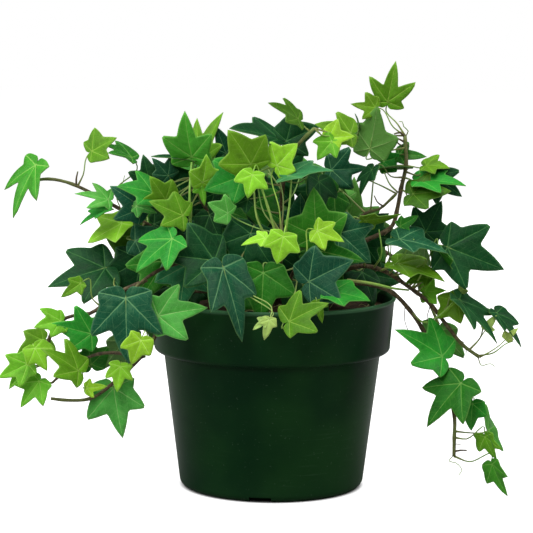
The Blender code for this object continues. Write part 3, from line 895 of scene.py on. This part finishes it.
def blade_top():
    finish = Finish("leaf upper side", Specular_IOR_Level=0.12)
    own = finish.read("own_colour", "Color")
    pale = finish.read("vein_colour", "Color")
    clear = finish.read("vein_strength")
    rim = finish.read("edge")
    place = finish.place()
    main, side, net, beside = vein_pattern(finish)
    cloud = finish.noise(62, 4, place, 0.6)
    fine = finish.noise(300, 3, place, 0.6)
    patches = finish.noise(120, 3, place, 0.6)
    shade = finish.tint(own, 0.30 + cloud * 0.90 + fine * 0.36 + beside * 0.22)
    shade = finish.blend(patches.step_up(0.52, 0.74) * clear * 0.18, shade, pale)
    shade = finish.blend(patches.step_down(0.30, 0.46) * 0.40, shade, finish.tint(own, 0.40))
    shade = finish.blend(net * 0.07, shade, pale)
    shade = finish.blend(side * clear * 0.26, shade, pale)
    shade = finish.blend(main * (0.20 + clear * 0.65), shade, pale)
    shade = finish.blend(rim.step_up(0.93, 1.0) * 0.35, shade, pale)
    finish.colour(shade)
    finish.roughness(0.32 + cloud * 0.16 + fine * 0.12)
    finish.bump(0.4 - main * 0.5 - side * 0.30 - net * 0.12 + patches * 0.35, 0.00030, 0.8)
    return finish.material


def blade_underside():
    finish = Finish("leaf underside", Specular_IOR_Level=0.12)
    own = finish.read("own_colour", "Color")
    place = finish.place()
    main, side, net, _ = vein_pattern(finish)
    cloud = finish.noise(120, 3, place)
    shade = finish.blend(0.34 + cloud * 0.22, own, (0.170, 0.330, 0.075))
    shade = finish.blend(main * 0.5, shade, (0.300, 0.450, 0.150))
    shade = finish.blend(side * 0.22 + net * 0.05, shade, (0.240, 0.380, 0.120))
    finish.colour(shade)
    finish.roughness(0.58 + cloud * 0.14)
    finish.bump(main * 0.8 + side * 0.4 + net * 0.15, 0.0004)
    return finish.material


def petiole_skin():
    finish = Finish("petiole skin", Specular_IOR_Level=0.35)
    own = finish.read("own_colour", "Color")
    along = finish.read("along")
    place = finish.place()
    cloud = finish.noise(260, 2, place)
    green = finish.blend(0.55, own, (0.300, 0.420, 0.100))
    brown = finish.blend(cloud, (0.150, 0.120, 0.045), (0.240, 0.180, 0.080))
    finish.colour(finish.blend((along + cloud * 0.4).step_down(0.15, 0.62) * 0.75, green, brown))
    finish.roughness(0.42 + cloud * 0.2)
    finish.bump(cloud, 0.0002)
    return finish.material


leaf_finishes = [blade_top(), blade_underside(), petiole_skin()]

# %% [markdown]
# ### Where each leaf sits
# A leaf's foot, the side that it faces, the heading of its midrib and its lean and roll are read
# off like a botanist's notes, one row to a leaf. The larger ones repeat the frame's leaves. Where
# the frame slid such a leaf inwards to clear its neighbours, the same slide is found here from
# the place of its tip.

# %% Leaf rows
# Each row: vine, foot of the blade (x, y, z), the side that the blade faces (0 is the front,
# 90 the right), heading of the midrib as seen from that side (90 is up), lean of the tip
# towards that side, roll about the midrib, length of the midrib, form and tone.
FRAME_LEAVES = {
    "left_tip": ("left_high", (-151, -20, 209), 0, 238, 12, 45, 36, "pointed", "fresh"),
    "left_lime": ("left_high", (-96, -26, 173), 0, 207, 15, 42, 25, "broad", "lime"),
    "left_big": ("left_outer", (-106, -32, 145), 0, 194, 15, 20, 38, "mature", "dark"),
    "left_low": ("left_outer", (-112, -66, 108), 0, 165, 15, -10, 25, "mature", "vivid"),
    "left_dark": ("left_middle", (-119, -70, 86), 0, 138, 20, 35, 27, "mature", "olive"),
    "left_end": ("left_outer", (-152, -60, 88), 0, 205, 15, 0, 20, "mature", "bright"),
    "left_foot": ("left_middle", (-145, -60, 77), 0, 232, 18, 10, 20, "mature", "bright"),
    "left_hanging": ("left_inner", (-99, -60, 73), 0, 279, 15, 10, 32, "mature", "soft"),
    "front_big": ("front_left", (-90, -78, 132), 0, 270, 12, 15, 40, "mature", "slate"),
    "front_lime": ("front_left", (-70, -84, 122), 0, 14, 10, 0, 30, "mature", "soft"),
    "front_left": ("front_left", (-62, -70, 168), 0, 214, 15, 30, 30, "mature", "vivid"),
    "front_dark": ("front", (-36, -64, 154), 0, 171, 12, 10, 37, "mature", "dark"),
    "front_hanging": ("front", (-30, -92, 153), 0, 290, 10, -38, 46, "folded", "slate"),
    "front_under": ("front_right", (-6, -84, 149), 0, 268, 12, 0, 30, "broad", "green"),
    "front_up": ("front_right", (27, -50, 168), 0, 95, 15, 0, 31, "broad", "fresh"),
    "front_slate": ("front_right", (22, -78, 143), 0, 30, 12, 0, 30, "broad", "slate"),
    "front_rim": ("front_right", (10, -96, 121), 0, 32, 10, -20, 26, "mature", "olive"),
    "crown_left": ("upper_left", (-51, -42, 216), 0, 103, 20, -25, 30, "mature", "fresh"),
    "crown_left_rear": ("upper_left", (-46, -30, 214), 0, 72, 15, -45, 34, "pointed", "olive"),
    "crown_big": ("top", (4, -30, 227), 0, 160, 15, 58, 33, "broad", "dark"),
    "crown_front": ("top", (-14, -56, 213), 0, 120, 15, 0, 26, "broad", "olive"),
    "crown_slate": ("top", (9, -58, 206), 0, 16, 12, -58, 28, "broad", "teal"),
    "crown_top": ("top", (15, -50, 241), 0, 143, 25, 45, 22, "mature", "moss"),
    "peak": ("right_high", (72, -16, 250), 0, 80, 10, 0, 26, "pointed", "olive"),
    "right_upright": ("right_high", (61, -26, 221), 0, 78, 5, 150, 28, "broad", "green"),
    "right_side": ("right_high", (93, -22, 201), 0, 4, 15, -50, 29, "mature", "vivid"),
    "right_big": ("right_low", (110, -36, 160), 0, -20, 12, 0, 38, "mature", "dark"),
    "right_inner": ("right_low", (79, -40, 150), 0, -10, 15, -56, 31, "broad", "olive"),
    "right_slate": ("right_low", (118, -38, 127), 0, -40, 12, -60, 36, "mature", "dark"),
    "right_end": ("right_low", (143, -26, 117), 0, -48, 18, -50, 27, "folded", "dark"),
    "hanging_high": ("right_hanging", (107, -46, 92), 0, 142, 15, 20, 34, "mature", "vivid"),
    "hanging_big": ("right_hanging", (118, -58, 77), 0, 225, 12, 30, 34, "mature", "green"),
    "hanging_edge": ("right_hanging", (137, -50, 46), 68, 0, 0, 0, 24, "broad", "fresh"),
    "hanging_tip": ("right_hanging", (139, -50, 24), 0, 290, 15, 55, 22, "folded", "fresh"),
    "back_left_high": ("back_left", (-72, 70, 156), 215, 60, 15, 0, 36, "mature", "dark"),
    "back_left_side": ("back_left", (-92, 82, 124), 235, 200, 15, 0, 36, "mature", "green"),
    "back_left_low": ("back_left", (-102, 96, 78), 215, 262, 12, 0, 32, "mature", "slate"),
    "back_right_high": ("back_right", (50, 58, 160), 150, 98, 15, 0, 36, "mature", "green"),
    "back_right_side": ("back_right", (104, 78, 134), 130, 10, 15, 0, 36, "broad", "dark"),
    "back_right_low": ("back_right", (116, 92, 88), 145, 275, 12, 0, 32, "mature", "vivid"),
    "back_high": ("back", (-6, 72, 182), 180, 80, 15, 0, 36, "broad", "dark"),
    "back_side": ("back", (22, 100, 146), 170, 200, 15, 0, 34, "mature", "slate"),
    "back_low": ("back", (4, 115, 100), 180, 272, 12, 0, 36, "mature", "green"),
}
SMALL_LEAVES = {
    "left_top_young": ("left_high", (-115, -22, 218), 0, 32, 10, -20, 18, "broad", "olive"),
    "left_top_edge": ("left_high", (-90, -18, 214), 0, 147, 0, 58, 24, "mature", "green"),
    "left_pale": ("left_high", (-104, -30, 188), 0, 160, 15, 30, 21, "pointed", "soft"),
    "left_mid": ("left_high", (-105, -34, 182), 0, 202, 15, 58, 19, "mature", "vivid"),
    "left_olive": ("left_outer", (-119, -62, 139), 0, 215, 10, 0, 15, "young", "olive"),
    "outer_high": ("left_outer", (-131, -66, 116), 0, 188, 15, 0, 17, "mature", "bright"),
    "outer_back": ("left_middle", (-113, -56, 87), 0, 97, 15, 0, 20, "broad", "green"),
    "outer_olive": ("left_outer", (-143, -55, 102), 0, 205, 20, 0, 19, "broad", "olive"),
    "outer_lime": ("left_outer", (-147, -67, 99), 0, 300, 10, 0, 16, "broad", "lime"),
    "outer_low": ("left_outer", (-156, -57, 84), 0, 238, 15, 0, 15, "young", "bright"),
    "inner_curl": ("left_inner", (-115, -66, 74), 0, 5, 20, 20, 13, "young", "lime"),
    "inner_light": ("left_inner", (-94, -68, 88), 0, 262, 15, 0, 16, "mature", "lime"),
    "front_small_lime": ("left_inner", (-80, -90, 108), 0, 250, 12, 0, 16, "broad", "lime"),
    "middle_lime": ("middle", (6, -90, 172), 0, 258, 10, 0, 17, "broad", "lime"),
    "middle_narrow": ("middle", (-5, -80, 170), 0, 190, 10, 25, 15, "young", "lime"),
    "middle_vein": ("front_right", (27, -66, 173), 0, -20, 12, 0, 18, "mature", "lime"),
    "middle_teal": ("front_right", (41, -50, 170), 0, -40, 12, 0, 27, "broad", "slate"),
    "middle_long": ("front_right", (28, -60, 160), 0, -12, 10, 30, 29, "young", "green"),
    "rim_bright": ("front_right", (36, -78, 137), 0, -4, 12, -45, 24, "broad", "vivid"),
    "rim_olive": ("front_right", (27, -84, 131), 0, 285, 10, 0, 13, "young", "olive"),
    "rim_bud": ("front", (-2, -95, 122), 0, 256, 10, 0, 13, "young", "pale"),
    "crown_edge": ("upper_left", (-51, -34, 213), 0, 168, 0, 68, 26, "mature", "dark"),
    "crown_lime": ("upper_left", (-44, -50, 201), 0, 75, 15, 38, 18, "broad", "lime"),
    "crown_lime_low": ("upper_left", (-45, -47, 199), 0, 280, 15, 10, 13, "young", "bright"),
    "crown_side": ("upper_left", (-75, -46, 194), 0, 160, 15, 30, 23, "broad", "vivid"),
    "crown_slate_side": ("upper_left", (-82, -38, 184), 0, 145, 15, 0, 24, "broad", "slate"),
    "crown_teal_side": ("upper_left", (-86, -42, 185), 0, -12, 15, 0, 14, "young", "soft"),
    "crown_olive": ("upper_left", (-67, -48, 190), 0, 122, 15, 0, 18, "broad", "olive"),
    "crown_dark": ("upper_left", (-52, -28, 186), 0, 125, 15, 0, 33, "broad", "dark"),
    "crown_front_lime": ("upper_left", (-56, -56, 181), 0, 155, 15, 15, 23, "mature", "olive"),
    "crown_pale": ("middle", (-28, -60, 183), 0, 150, 15, 0, 14, "broad", "soft"),
    "crown_oval": ("top", (-16, -46, 190), 0, 200, 15, 0, 16, "young", "dark"),
    "crown_teal": ("upper_left", (-30, -32, 218), 0, 108, 10, 0, 18, "mature", "slate"),
    "crown_dark_side": ("upper_left", (-78, -30, 200), 0, 104, 10, 0, 17, "broad", "dark"),
    "crown_teal_small": ("upper_left", (-66, -36, 204), 0, 128, 10, 0, 15, "mature", "slate"),
    "crown_green": ("middle", (-20, -48, 205), 0, 200, 15, 0, 25, "broad", "vivid"),
    "top_dark": ("middle", (8, -34, 226), 0, 28, 10, 0, 22, "broad", "dark"),
    "top_olive": ("top", (48, -40, 232), 0, 164, 12, 15, 23, "mature", "olive"),
    "top_lime": ("top", (34, -46, 229), 0, 6, 15, 0, 16, "broad", "lime"),
    "top_lime_low": ("top", (36, -48, 227), 0, 228, 15, 0, 15, "broad", "bright"),
    "top_pale": ("middle", (2, -52, 212), 0, 48, 15, 0, 19, "broad", "lime"),
    "top_lime_front": ("middle", (-13, -62, 207), 0, 256, 12, 0, 15, "broad", "lime"),
    "peak_olive": ("right_high", (64, -24, 247), 0, 172, 15, 0, 16, "mature", "olive"),
    "right_bright": ("right_high", (70, -14, 212), 0, 20, 20, 0, 15, "broad", "vivid"),
    "right_up_small": ("right_high", (80, -16, 217), 0, 0, 20, 0, 17, "young", "green"),
    "right_lime": ("right_high", (97, -16, 210), 0, 5, 15, -40, 15, "broad", "olive"),
    "right_dark": ("right_high", (102, -16, 203), 0, -30, 15, 0, 22, "mature", "dark"),
    "right_under": ("right_high", (88, -30, 193), 0, 8, 15, -30, 24, "broad", "moss"),
    "right_thin": ("right_high", (54, -20, 233), 0, 95, 0, 80, 10, "young", "dark"),
    "right_edge": ("right_high", (84, -16, 208), 0, 178, 0, 74, 26, "mature", "dark"),
    "right_inner_up": ("right_high", (62, -28, 208), 0, 235, 15, 60, 18, "broad", "dark"),
    "side_dark": ("right_low", (97, -22, 168), 0, 64, 10, 0, 22, "broad", "dark"),
    "side_slate": ("right_low", (79, -46, 166), 0, -5, 12, -52, 31, "broad", "slate"),
    "side_edge": ("right_low", (57, -50, 178), 0, 3, 0, 72, 23, "young", "olive"),
    "side_small": ("right_low", (80, -34, 173), 0, 30, 10, 0, 13, "young", "green"),
    "side_low": ("right_low", (98, -34, 141), 0, 190, 10, 20, 15, "young", "olive"),
    "side_strip": ("right_low", (104, -38, 158), 0, -62, 0, 76, 29, "young", "green"),
    "side_lime": ("right_low", (96, -28, 130), 0, 12, 15, 0, 14, "mature", "bright"),
    "side_bud": ("right_low", (120, -28, 131), 0, 60, 15, 0, 8, "young", "pale"),
    "side_olive": ("right_low", (117, -32, 125), 0, 215, 12, 0, 17, "broad", "olive"),
    "end_pale": ("right_low", (136, -28, 107), 0, 60, 15, 0, 11, "young", "pale"),
    "end_bract": ("right_low", (149, -28, 101), 0, 50, 20, 0, 10, "young", "pale"),
    "hanging_small": ("right_hanging", (126, -52, 63), 0, 262, 10, 20, 17, "broad", "vivid"),
    "left_inner_moss": ("left_outer", (-84, -14, 163), 0, 236, 12, 0, 31, "broad", "moss"),
    "left_inner_dark": ("left_outer", (-84, -28, 150), 0, 262, 10, 0, 34, "broad", "dark"),
    "left_inner_green": ("front_left", (-68, -50, 152), 0, 240, 12, 0, 29, "broad", "green"),
    "front_inner_teal": ("front_left", (-54, -58, 150), 0, 262, 12, 0, 28, "broad", "teal"),
    "front_inner_dark": ("front", (-14, -56, 170), 0, 250, 12, 0, 30, "broad", "dark"),
    "rim_bud_low": ("front", (-5, -94, 121), 0, 215, 10, 0, 9, "young", "pale"),
    "hanging_bright": ("right_hanging", (134, -52, 42), 0, 288, 0, 50, 17, "mature", "bright"),
}

# %% Tones
# Linear colours of the blade and of its veins, and how clear the veins are.
TONES = {
    "pale": ((0.380, 0.570, 0.130), (0.560, 0.700, 0.320), 0.4),
    "lime": ((0.250, 0.570, 0.020), (0.540, 0.780, 0.200), 0.7),
    "bright": ((0.120, 0.400, 0.014), (0.400, 0.680, 0.120), 0.8),
    "soft": ((0.065, 0.350, 0.045), (0.340, 0.640, 0.200), 0.7),
    "olive": ((0.085, 0.230, 0.006), (0.300, 0.480, 0.070), 0.7),
    "fresh": ((0.038, 0.240, 0.014), (0.250, 0.510, 0.100), 0.8),
    "vivid": ((0.014, 0.225, 0.018), (0.190, 0.500, 0.090), 0.8),
    "green": ((0.014, 0.140, 0.008), (0.170, 0.390, 0.070), 0.8),
    "moss": ((0.030, 0.105, 0.004), (0.160, 0.290, 0.040), 0.6),
    "teal": ((0.024, 0.165, 0.055), (0.200, 0.410, 0.160), 0.7),
    "dark": ((0.002, 0.046, 0.010), (0.075, 0.230, 0.060), 0.7),
    "slate": ((0.004, 0.062, 0.026), (0.130, 0.310, 0.130), 0.9),
    "straw": ((0.420, 0.360, 0.180), (0.500, 0.440, 0.260), 0.2),
}
SLOTS = {tone: "leaf_lime" for tone in ("pale", "lime", "bright")}
SLOTS |= {"dark": "leaf_dark", "slate": "leaf_slate", "teal": "leaf_slate"}

# %% Placing leaves
BLADE_THICKNESS = 0.45
PETIOLE_RADIUS, PETIOLE_STEP, PETIOLE_SIDES = 0.62, 2.5, 7
INWARD_SLOPE = 0.12
# How fine a blade is: its spokes, its rings, and how far its lobes may stray.
FRAME_DETAIL = (76, 9, 0.06)
SMALL_DETAIL = (60, 7, 0.12)
STREWN_DETAIL = (44, 4, 0.12)


def blade_place(foot, facing, heading, lean, roll):
    """Turns a blade's own axes (midrib, side, upper face) to its place on the plant."""
    facing, heading, lean, roll = (math.radians(a) for a in (facing, heading, lean, roll))
    across = Vector((math.cos(facing), math.sin(facing), 0))
    outward = Vector((math.sin(facing), -math.cos(facing), 0))
    rib = (across * math.cos(heading) + UP * math.sin(heading)) * math.cos(lean)
    rib += outward * math.sin(lean)
    light = outward * 0.94 + UP * 0.34
    normal = (light - rib * light.dot(rib)).normalized()
    normal = Matrix.Rotation(roll, 3, rib) @ normal
    turn = Matrix((rib, normal.cross(rib), normal)).transposed()
    return Matrix.Translation(foot) @ turn.to_4x4()


def frame_slide(name, place, facing, length):
    """How far the frame slid a leaf inwards, from where its tip ended up."""
    inward = Vector((-math.sin(math.radians(facing)), math.cos(math.radians(facing)), 0))
    inward -= UP * INWARD_SLOPE
    tip = place @ Vector((length, 0, -BLADE_DROOP * length))
    line = inward.normalized()
    best = None
    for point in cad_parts[f"leaf_{name}"].data.vertices:
        arm = point.co / MM - tip
        miss = (arm - line * arm.dot(line)).length
        if best is None or miss < best[0]:
            best = (miss, arm.dot(line))
    return line * best[1]


def nearest_on_vine(vine, place):
    """The point of a vine nearest to a place, with its sunk root left out."""
    route, _ = vines[vine]
    return min(route[3:], key=lambda point: (point - place).length)


def petiole_points(place, vine, blade):
    """From inside the vine, out and round to the blade's foot, and on under its midrib."""
    foot = place.translation.copy()
    rib, normal = place.col[0].to_3d(), place.col[2].to_3d()
    seat = nearest_on_vine(vine, foot)
    reach = (foot - seat).length
    out = (foot - seat).normalized()
    sag = Vector((0, 0, -0.06 * reach))
    knee = seat + out * reach * 0.4 + sag
    neck = foot - rib * min(6.0, reach * 0.3) - normal * min(3.0, reach * 0.12)
    run = [seat, knee, neck, foot - normal * 0.2]
    for share in (0.10, 0.25):
        along = share * blade.length
        run.append(place @ Vector((along, 0, blade.height(along, 0) - 0.35)))
    return run


def add_leaf(name, row, dice, stands_for=(), detail=SMALL_DETAIL):
    """Makes one leaf from its row: the blade, then the petiole that joins it to its vine."""
    spokes, rings, uneven = detail
    vine, foot, facing, heading, lean, roll, length, form_name, tone = row
    place = blade_place(Vector(foot), facing, heading, lean, roll)
    if stands_for:
        place = Matrix.Translation(frame_slide(name, place, facing, length)) @ place
    blade = Blade(form_name, length, dice, uneven)
    form = bmesh.new()
    add_blade(form, blade, spokes, rings, BLADE_THICKNESS)
    bmesh.ops.transform(form, matrix=Matrix.Diagonal((1 / MM,) * 3).to_4x4(), verts=form.verts)
    bmesh.ops.transform(form, matrix=place, verts=form.verts)
    bmesh.ops.transform(form, matrix=Matrix.Diagonal((MM,) * 3).to_4x4(), verts=form.verts)
    route = smooth_route(petiole_points(place, vine, blade), PETIOLE_STEP)
    last = len(route) - 1
    swell = [1.35 - 0.5 * min(1.0, 5 * n / last) - 0.25 * n / last for n in range(last + 1)]
    size = PETIOLE_RADIUS * (0.75 + length / 120)
    add_tube(form, route, [size * s for s in swell], PETIOLE_SIDES, material=2)
    piece = finish_piece(name, form, leaf_finishes, stands_for)
    colour_leaf(piece, tone, dice)
    return piece


def colour_leaf(piece, tone, dice):
    """Stores a leaf's own colour, a little off its tone's, at every point."""
    blade, veins, strength = TONES[tone]
    light = dice.uniform(0.88, 1.14)
    warm = dice.uniform(-0.12, 0.12)
    own = (blade[0] * light * (1 + warm), blade[1] * light, blade[2] * light * (1 - warm), 1)
    values = {"own_colour": own, "vein_colour": (*veins, 1)}
    for name, colour in values.items():
        layer = piece.data.attributes.new(name, "FLOAT_COLOR", "POINT")
        layer.data.foreach_set("color", colour * len(piece.data.vertices))
    layer = piece.data.attributes.new("vein_strength", "FLOAT", "POINT")
    clear = strength * dice.uniform(0.8, 1.15)
    layer.data.foreach_set("value", [clear] * len(piece.data.vertices))


dice = random.Random(27)
leaf_pieces = []
for name, row in FRAME_LEAVES.items():
    leaf_pieces.append(add_leaf(name, row, dice, [f"leaf_{name}"], FRAME_DETAIL))
for name, row in SMALL_LEAVES.items():
    leaf_pieces.append(add_leaf(name, row, dice))
print(f"leaves: {len(FRAME_LEAVES)} of the frame, {len(SMALL_LEAVES)} small ones")

# %% [markdown]
# ### Bare stalks, twigs and roots
# A vine that was cut back keeps its bare stalks: pale ones that lost their leaf, brown broken
# twigs, thin tendrils that curl at the end, and the short brown rootlets with which ivy holds on.
# Pale root fibres lie on the mix.

# %% Bare stalks
# Each row: thickness, tone (or bark), then the points that it follows.
STALKS = {
    "stalk_crown": (1.15, "bright", ((-46, -30, 150), (-51, -46, 170), (-52, -50, 195),
                    (-51, -44, 213))),
    "stalk_rim": (1.0, "bright", ((46, -62, 142), (60, -60, 140), (74, -52, 136), (86, -32, 132))),
    "stalk_gap": (0.6, "olive", ((62, -20, 182), (62.6, -22, 192), (63.6, -26, 207))),
    "stalk_gap_left": (0.6, "olive", ((78.5, -20, 192), (69, -22, 197), (60, -24, 201))),
    "stalk_gap_right": (0.6, "olive", ((79, -20, 193), (74, -22, 198), (70, -24, 206))),
    "stalk_side": (0.7, "bright", ((68, -31, 144), (78, -44, 151), (88, -46, 166))),
    "stalk_side_low": (0.7, "olive", ((76, -30, 141), (86, -40, 145), (97, -42, 152))),
    "stalk_side_up": (0.7, "bright", ((64, -31, 146), (68, -46, 158), (66, -46, 172))),
    "stalk_side_end": (0.7, "olive", ((88, -30, 133), (93, -38, 142), (96, -40, 153))),
    "stalk_side_left": (0.7, "bright", ((58, -31, 147), (56, -44, 158), (50, -50, 168))),
    "stalk_side_loop": (0.7, "bright", ((88, -30, 118), (96, -36, 112), (104, -38, 116),
                    (114, -36, 125))),
    "stalk_end": (0.55, "olive", ((130, -30, 90), (140, -32, 92), (149, -30, 98), (153, -28, 99))),
    "stalk_centre": (1.0, "olive", ((5, -54, 160), (1, -60, 172), (-3, -60, 186), (-8, -56, 200))),
    "stalk_centre_right": (0.9, "bright", ((6, -54, 160), (8, -62, 175), (10, -62, 190),
                    (11, -58, 205))),
    "stalk_centre_left": (0.9, "olive", ((3, -54, 158), (-4, -60, 168), (-10, -60, 180),
                    (-12, -54, 196))),
    "twig_top": (0.8, "bark", ((83, -20, 228), (80, -21, 231), (76, -21, 230))),
    "twig_top_low": (0.7, "bark", ((82.5, -20, 225), (79, -22, 227), (75.5, -22, 227))),
    "twig_top_back": (0.6, "bark", ((82, -19, 222), (78, -17, 225), (77, -17, 229))),
    "twig_left": (0.7, "bark", ((-125, -20, 196), (-125, -21, 200), (-124, -21, 205))),
    "twig_side": (0.6, "bark", ((70, -20, 184), (66, -22, 187), (64, -22, 191))),
    "twig_hanging": (0.7, "bark", ((115, -50, 32), (119, -51, 33), (123, -51, 33))),
    "tendril_top": (0.4, "olive", ((83, -20, 228), (85, -21, 232), (82, -22, 235), (81, -22, 238),
                    (79, -22, 238))),
    "tendril_left": (0.35, "olive", ((-97, -22, 182), (-99, -26, 190), (-96, -26, 196),
                    (-94, -26, 203))),
    "tendril_end": (0.4, "olive", ((131, -30, 89), (133, -31, 84), (139, -31, 85),
                    (142, -30, 83))),
    "tendril_hanging": (0.35, "olive", ((115, -50, 30), (112, -51, 26), (116, -51, 25),
                    (120, -51, 20),
                        (118, -51, 17))),
    "tendril_side": (0.3, "bark", ((100, -30, 122), (98, -32, 114), (100, -32, 106),
                    (106, -32, 100))),
    "tendril_side_low": (0.3, "bark", ((84, -30, 121), (84, -32, 112), (88, -32, 104),
                    (96, -32, 101))),
}
STALK_STEP, STALK_SIDES, STALK_TAPER = 2.0, 8, 0.4


def add_stalk(name, thickness, tone, points, dice):
    """Makes one thin tapered stalk, of bark or with a petiole's skin."""
    form = bmesh.new()
    route = smooth_route([Vector(point) for point in points], STALK_STEP)
    last = len(route) - 1
    radii = [thickness * (1 - STALK_TAPER * n / last) for n in range(last + 1)]
    add_tube(form, route, radii, STALK_SIDES)
    if tone == "bark":
        finish_piece(name, form, [vine_bark])
    else:
        colour_leaf(finish_piece(name, form, [leaf_finishes[2]]), tone, dice)


for name, (thickness, tone, points) in STALKS.items():
    add_stalk(name, thickness, tone, points, dice)

# %% Rootlets and fibres
ROOTLET_RADIUS = 0.28
ROOTED = {"right_low": 9, "right_hanging": 7, "left_high": 6, "left_outer": 5, "right_high": 4}
for vine, count in ROOTED.items():
    route, _ = vines[vine]
    for number in range(count):
        start = route[int(len(route) * (0.42 + 0.55 * (number + dice.random()) / count))]
        out = Vector((dice.uniform(-1, 1), dice.uniform(-0.8, 0.2), dice.uniform(-1, 0.3)))
        out = out.normalized() * dice.uniform(2.5, 5.5)
        bend = Vector((dice.uniform(-1, 1), 0, dice.uniform(-1.5, 0)))
        points = (start, start + out * 0.5 + bend * 0.3, start + out + bend)
        add_stalk(f"rootlet_{vine}_{number}", ROOTLET_RADIUS, "bark", points, dice)

FIBRES, FIBRE_STEP = 30, 4
FIBRE_LIFTS = (0.2, 2.0, 2.6, 0.4)
FIBRE_LIMIT = 72
for number in range(FIBRES):
    turn = math.radians(dice.uniform(-115, 25))
    out = dice.uniform(34, 70)
    start = Vector((out * math.cos(turn), out * math.sin(turn), 0))
    run = math.radians(dice.uniform(0, 360))
    points = []
    for lift in FIBRE_LIFTS:
        run += dice.uniform(-0.8, 0.8)
        start += Vector((math.cos(run), math.sin(run), 0)) * FIBRE_STEP
        if math.hypot(start.x, start.y) > FIBRE_LIMIT:
            break
        lift *= dice.uniform(0.5, 1.4)
        points.append(Vector((start.x, start.y, mix_height(start.x, start.y) + lift)))
    if len(points) > 2:
        add_stalk(f"fibre_{number}", dice.uniform(0.25, 0.5), "straw", points, dice)
print(f"bare stalks: {len(STALKS)}, with rootlets on {len(ROOTED)} vines and fibres on the mix")

# %% [markdown]
# ### The leaves behind
# Behind the leaves that can be told apart, an ivy is a mass of more leaves. They are strewn
# by a seeded draw, over a low dome inside the plant and over its back, each facing outwards. One
# that would cut through a leaf already there is drawn again, and given up after a few tries. Those
# inside the crown take only the darker tones: painted shade for the crown's interior.

# %% Strewn leaves
CROWN_OUTLINE = ((-105, 165), (-80, 185), (-50, 208), (0, 212), (40, 205), (58, 180), (95, 158))
GAP_START, GAP_HEIGHT = 46, 166
REAR_TOP, REAR_FOOT = 206, 112
REAR_TOP_OUT, REAR_FOOT_OUT = 26, 92
REAR_LEFT, REAR_RIGHT = -86, 60
REAR_FALL = 1.2
INNER_COUNT, INNER_LENGTHS = 90, (20, 33)
# Inside the crown only the darker tones are drawn: painted shade for the crown's interior.
INNER_PAINTED_SHADE_TONES = ("dark", "dark", "green", "slate")
REAR_COUNT, REAR_LENGTHS = 130, (22, 38)
REAR_TONES = ("dark", "green", "slate", "vivid", "green", "fresh")
HEADINGS = (90, 200, 250, 290, 340)
TRIES = 10


def crown_height(x):
    """The highest place for a strewn leaf at this distance to the side."""
    for (start, low), (end, high) in zip(CROWN_OUTLINE, CROWN_OUTLINE[1:]):
        if start <= x <= end:
            return low + (high - low) * (x - start) / (end - start)
    return 0


def leaf_tree(piece):
    """A leaf's middle, its reach from there, and a search tree of its faces."""
    points = [point.co for point in piece.data.vertices]
    middle = sum(points, Vector()) / len(points)
    reach = max((point - middle).length for point in points)
    faces = [face.vertices[:] for face in piece.data.polygons]
    return middle, reach, BVHTree.FromPolygons(points, faces)


def cuts(found, trees):
    """Whether a leaf cuts through one that is already there."""
    middle, reach, tree = found
    near = (t for t in trees if (t[0] - middle).length < t[1] + reach)
    return any(other[2].overlap(tree) for other in near)


def strew(name, count, spot, tones, sizes, dice, trees):
    """Adds up to count leaves at places that spot draws, and gives how many found one."""
    added = 0
    for number in range(count):
        for _ in range(TRIES):
            foot, facing = spot(dice)
            if foot.z > crown_height(foot.x) or (foot.x > GAP_START and foot.z > GAP_HEIGHT):
                continue
            vine = min(vines, key=lambda v: (nearest_on_vine(v, foot) - foot).length)
            heading = dice.choice(HEADINGS) + dice.uniform(-30, 30)
            lean, roll = dice.uniform(5, 30), dice.uniform(-25, 25)
            shape = (dice.uniform(*sizes), dice.choice(("mature", "broad")), dice.choice(tones))
            row = (vine, tuple(foot), facing, heading, lean, roll, *shape)
            leaf = add_leaf(f"{name}_{number}", row, dice, (), STREWN_DETAIL)
            found = leaf_tree(leaf)
            if not cuts(found, trees):
                trees.append(found)
                added += 1
                break
            bpy.data.objects.remove(leaf)
    return added


def inner_spot(dice):
    """A place in the crown, facing roughly to the front."""
    x, y = dice.uniform(-88, 66), dice.uniform(-44, 40)
    z = dice.uniform(134, 208)
    return Vector((x, y, z)), dice.uniform(-35, 35)


def rear_spot(dice):
    """A place on the back of the crown, facing outwards."""
    facing = dice.uniform(100, 260)
    turn = math.radians(facing)
    fall = dice.random()
    out = REAR_TOP_OUT + (REAR_FOOT_OUT - REAR_TOP_OUT) * math.sin(math.pi / 2 * fall)
    x, y = out * math.sin(turn), -out * math.cos(turn)
    x = max(REAR_LEFT, min(REAR_RIGHT, x))
    return Vector((x, y, REAR_TOP - (REAR_TOP - REAR_FOOT) * fall**REAR_FALL)), facing


trees = [leaf_tree(piece) for piece in leaf_pieces]
inner = strew("inner_leaf", INNER_COUNT, inner_spot, INNER_PAINTED_SHADE_TONES, INNER_LENGTHS, dice, trees)
rear = strew("rear_leaf", REAR_COUNT, rear_spot, REAR_TONES, REAR_LENGTHS, dice, trees)
print(f"strewn leaves: {inner} inside and {rear} at the back")
